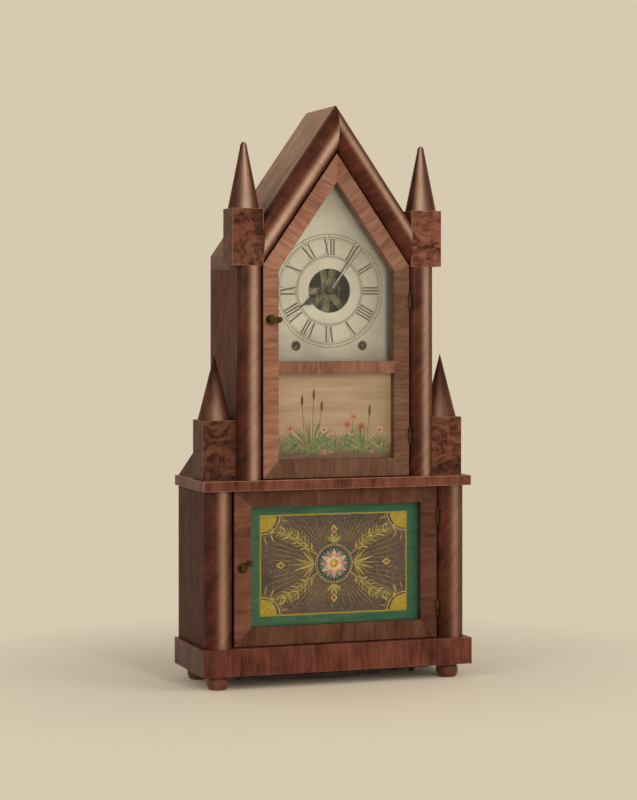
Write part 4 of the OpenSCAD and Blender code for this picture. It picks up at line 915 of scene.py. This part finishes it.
bm = sheet_of_paint()
ray_count, past_flower, past_fan = 72, 0.027, 0.05
for i in range(ray_count):
    toward = math.tau * i / ray_count
    aside, up = abs(math.sin(toward)), abs(math.cos(toward))
    stop = min(field_w / max(aside, 1e-6), field_h / max(up, 1e-6)) - (0.008 if i % 2 else 0.014)
    start = past_fan if aside > 0.9 or stop < past_flower else past_flower
    rays = [off(middle, toward, far) for far in (start, (start + stop) / 2, stop)]
    lay(bm, rays, [0.0004, 0.0009, 0.0003], "#86743f", 0)
ARCS = ((0.0095, 0.019, "#a88d2f"), (0.0215, 0.0012, "#b19e62"), (0.0245, 0.0008, "#85712f"))
for sx, sz in itertools.product((-1, 1), repeat=2):
    corner = (middle.x + sx * field_w, middle.y + sz * field_h)
    for k, (radius, width, tint) in enumerate(ARCS):
        turns = [math.pi / 2 * i / 16 for i in range(17)]
        arc = [(corner[0] - sx * radius * 1.12 * math.sin(t), corner[1] - sz * radius * math.cos(t)) for t in turns]
        lay(bm, arc, width, tint, 2 + k)
    for i in range(5):
        toward = math.atan2(-sx, -sz) + (i - 2) * 0.3
        foot = (corner[0] + math.sin(toward) * 0.026, corner[1] + math.cos(toward) * 0.0255)
        petal(bm, foot, toward, 0.0095, 0.0024, GOLDS[i % 4], 5)
    for spray, (bend, length, rise) in enumerate(((1.0, 0.062, 0.033), (0.35, 0.05, 0.046))):
        stem = []
        for i in range(13):
            t = i / 12
            lift = rise * math.sin(t * math.pi * 0.62) * (0.5 + 0.5 * bend * t)
            stem.append((middle.x + sx * (0.020 + length * t), middle.y + sz * (0.010 + lift)))
        lay(bm, stem, 0.0008, "#a08d4c", 3)
        for i in range(2, 13):
            ahead = math.atan2(stem[i][0] - stem[i - 1][0], stem[i][1] - stem[i - 1][1])
            size = 0.0105 * math.sin(math.pi * (0.16 + 0.78 * i / 13))
            for side in (-1, 1):
                petal(bm, stem[i], ahead + side * 0.75, size, 0.0021, GOLDS[(i + spray) % 4], 4 + (i + side) % 2)
LOZENGE = ((0.0066, "#4a3d38", 9), (0.005, "#a08c4a", 10), (0.0022, "#8a4a3c", 11))
for toward in (0, math.pi / 2, math.pi, 3 * math.pi / 2):
    level = abs(math.sin(toward)) > 0.5
    spot = off(middle, toward, 0.068 if level else 0.0415)
    for k in range(9):
        length = (0.03 if level else 0.017) * (1 - 0.09 * abs(k - 4))
        petal(bm, off(middle, toward, 0.025), toward + (k - 4) * 0.27, length, 0.0026, GOLDS[k % 4], 6 + k % 2)
    for size, tint, layer in LOZENGE:
        wide, tall = (size * 1.3, size) if level else (size, size * 1.3)
        tips = ((0, tall), (wide, 0), (0, -tall), (-wide, 0))
        dab(bm, [(spot[0] + x, spot[1] + z) for x, z in tips], tint, layer)
disc(bm, middle, 0.0245, "#4a3d38", 9, count=48)
lay(bm, ring(middle, 0.0236, 48), 0.0009, "#a8924a", 10, closed=True)
for turn, length, width, even, odd, layer in (
    (0.5, 0.0198, 0.0062, "#3f7358", "#3f7358", 10),
    (0, 0.0182, 0.0066, "#c39a80", "#b07a66", 13),
    (0.5, 0.0105, 0.0044, "#d0b492", "#d0b492", 16),
):
    for k in range(12):
        petal(bm, middle, math.tau * (k + turn) / 12, length, width, odd if k % 2 else even, layer + k % 2)
disc(bm, middle, 0.0052, "#a8842c", 19, count=24)
disc(bm, (middle.x - 0.0008, middle.y + 0.001), 0.0026, "#cfae52", 20)
painted("stencilled_gold", bm, "lower_door", "lower_painting", pigments)

pearl_paint, tree, shader = under_glass("white_dots_of_paint")
cover(tree, shader, blend(tree, cloud(tree, own_place(tree), 500.0), "#cfc6ad", "#a59b80"))
pearls = [(x, pane_face - 0.0001, z) for x, z in ring(middle, 0.0217, 40)]
grown("white_dots", pearls, stud_tree, "lower_door", "lower_painting", pearl_paint, Radius=0.00075, Rise=0.00035)


# Brass: the plates and wheels of the movement are rolled brass with a dull olive tarnish, the latches and hinges are
# handled brass, brighter where fingers rub them.
tarnish, takes, gives = effect(
    "tarnish",
    (
        ("Place", "Vector", (0, 0, 0)),
        ("Bright", "Color", (0.6, 0.4, 0.15, 1)),
        ("Dull", "Color", (0.2, 0.15, 0.06, 1)),
        ("Spread", "Float", 0.5),
    ),
    SURFACE_GIVES,
)
tree = tarnish
blooms = cloud(tree, takes["Place"], 90.0, 5.0, 0.65)
grime = cloud(tree, takes["Place"], 700.0, 3.0, 0.6)
share = reckon(tree, "MULTIPLY_ADD", grime, 0.4, times(tree, blooms, 0.6))
softness = 0.12
low, high = (reckon(tree, way, takes["Spread"], softness) for way in ("SUBTRACT", "ADD"))
share = widen(tree, share, low, high)
rough = widen(tree, share, 0.0, 1.0, 0.58, 0.4)
give(tree, gives, blend(tree, share, takes["Dull"], takes["Bright"]), rough, grime)


def metal(name, bright, dull, spread=0.5, metallic=1.0):
    """Metal with its tarnish, on Object coordinates."""
    material, tree, shader = fresh_material(name, Metallic=metallic)
    takes = {"Place": own_place(tree), "Bright": bright, "Dull": dull, "Spread": spread}
    film = put(tree, "Group", takes, node_tree=tarnish).outputs
    surface(tree, shader, film["Color"], film["Roughness"], film["Height"], 0.00002)
    return material


dressed(
    metal("plate_brass", "#6f6745", "#3f3b29"), "brass",
    "back_plate", "front_plate", "centre_wheel", "motion_wheel", "hour_wheel", "time_great_wheel", "time_second_wheel",
    "time_third_wheel", "escape_wheel", "time_drum", "strike_drum", "strike_great_wheel", "strike_pin_wheel", "fly",
)
handled_brass = metal("handled_brass", "#6b5a33", "#2b2214")
dressed(
    handled_brass, "latch_brass",
    "case_hinge_leaves", "upper_door_hinge_leaves", "lower_door_hinge_leaves",
    "upper_latch_rose", "upper_latch_turn", "lower_latch_rose", "lower_latch_turn",
)


# Steel and iron: the hands are dark blued steel, arbors and links bright wire, the spring oiled black, and the levers
# and their brackets forged iron.
hand_steel = metal("hand_steel", "#45413c", "#262320")
bright_steel = metal("bright_steel", "#5b5853", "#35322e")
spring_steel = metal("oiled_spring_steel", "#6b5d59", "#483d3a", 0.6, metallic=0.4)
black_iron = metal("black_iron", "#45413d", "#262320")
gong_steel = metal("gong_steel", "#3f4752", "#2a2c31")
dressed(hand_steel, "blued_steel", "hour_hand")
dressed(bright_steel, "steel", "verge", "pendulum", "hammer", "winding_chains", "time_link", "strike_link")
dressed(spring_steel, "spring_steel", "spring_middle", "time_spring_half", "strike_spring_half")
dressed(black_iron, "iron", "gong_base", "spring_saddle", "lever_brackets", "time_lever", "strike_lever")
dressed(gong_steel, "gong_steel", "coil_gong")


# The minute hand: sheet steel, sawn and filed to shape, with dark blued edges, and rubbed bright along its flat. A
# turned brass collet holds it on its arbor.
worn_steel = metal("worn_hand_steel", "#a39c88", "#7f7866", metallic=0.3)
bm = welded(nodes["minute_hand"].data)
bm.normal_update()
flat = [f for f in bm.faces if f.normal.y < -0.9]
for f in flat:
    f.material_index = 1
rim = bmesh.ops.inset_region(bm, faces=flat, thickness=0.00065, use_even_offset=True, use_boundary=True)["faces"]
for f in rim:
    f.material_index = 0
hand_mesh = bpy.data.meshes.new("minute_hand_rubbed")
bm.to_mesh(hand_mesh)
bm.free()
hand_mesh.materials.append(hand_steel)
hand_mesh.materials.append(worn_steel)
piece(placed("minute_hand_rubbed", hand_mesh), "minute_arbor", "blued_steel", "minute_hand")
collet = [(0.0006, 0.0), (0.0042, 0.0), (0.0042, -0.0005), (0.0034, -0.0009), (0.0026, -0.0017), (0.0006, -0.0019)]
bm = bmesh.new()
turned(bm, collet, hub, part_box("minute_hand")[0][1], 32)
painted("hand_collet", bm, "minute_arbor", "brass", handled_brass).data.shade_smooth()


# The winding chains: welded links of iron wire, each turned a quarter round from the one above it, that run from the
# drums down to the levers.
chain_tree, takes, gives = effect(
    "chain of links",
    (
        ("Places", "Geometry", None),
        ("Length", "Float", 0.26),
        ("Pitch", "Float", 0.003),
        ("Wire", "Float", 0.0003),
        ("Width", "Float", 0.0008),
        ("Finish", "Material", None),
    ),
    (("Chain", "Geometry"),),
    "GeometryNodeTree",
)
tree = chain_tree
count = reckon(tree, "FLOOR", reckon(tree, "DIVIDE", takes["Length"], takes["Pitch"]))
step = triple(tree, z=times(tree, takes["Pitch"], -1.0))
line = grow(tree, "MeshLine", {"Count": count, "Offset": step})
hoop = grow(tree, "CurvePrimitiveCircle", {"Resolution": 8, "Radius": 1.0})
tall = reckon(tree, "MULTIPLY_ADD", takes["Pitch"], 0.5, takes["Wire"])
hoop = grow(tree, "Transform", {"Geometry": hoop, "Scale": triple(tree, takes["Width"], tall, 1.0)})
hoop = grow(tree, "Transform", {"Geometry": hoop, "Rotation": (math.pi / 2, 0, 0)})
wire = grow(tree, "CurvePrimitiveCircle", {"Resolution": 5})
wire = grow(tree, "Transform", {"Geometry": wire, "Scale": triple(tree, takes["Wire"], takes["Wire"], 1.0)})
link = grow(tree, "CurveToMesh", {"Curve": hoop, "Profile Curve": wire})
odd = reckon(tree, "MODULO", grow(tree, "InputIndex"), 2.0)
quarter = triple(tree, z=times(tree, odd, math.pi / 2))
chain = grow(tree, "InstanceOnPoints", {"Points": line, "Instance": link, "Rotation": quarter})
strewn(tree, takes, gives, chain)
low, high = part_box("winding_chains")
half_width, hangs_from = 0.001, high[2] - 0.002
tops = [(x, (low[1] + high[1]) / 2, hangs_from) for x in (low[0] + half_width, high[0] - half_width)]
grown("chain_links", tops, chain_tree, "case", "steel", bright_steel, "winding_chains", Length=high[2] - low[2])


# The nails of the back: cut iron nails, driven in rows through the ends of the backboards, their heads nearly flush
# with the wood and rusted brown.
rust, tree, shader = fresh_material("rusted_nail", Metallic=0.3, Roughness=0.7)
cover(tree, shader, blend(tree, cloud(tree, own_place(tree), 600.0, 3.0), "#3c2c22", "#6b4a34"))
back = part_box("backboards")[1][1]
NAILED = ((0.160, (0.06, 0.1, 0.145, 0.19, 0.228)), (0.119, (0.262, 0.31, 0.36, 0.41, 0.46, 0.5)))
nails = [(side * x, back, z) for side in (-1, 1) for x, heights in NAILED for z in heights]
grown("backboard_nails", nails, stud_tree, "case", "iron", rust, Radius=0.0016, Rise=0.0001)
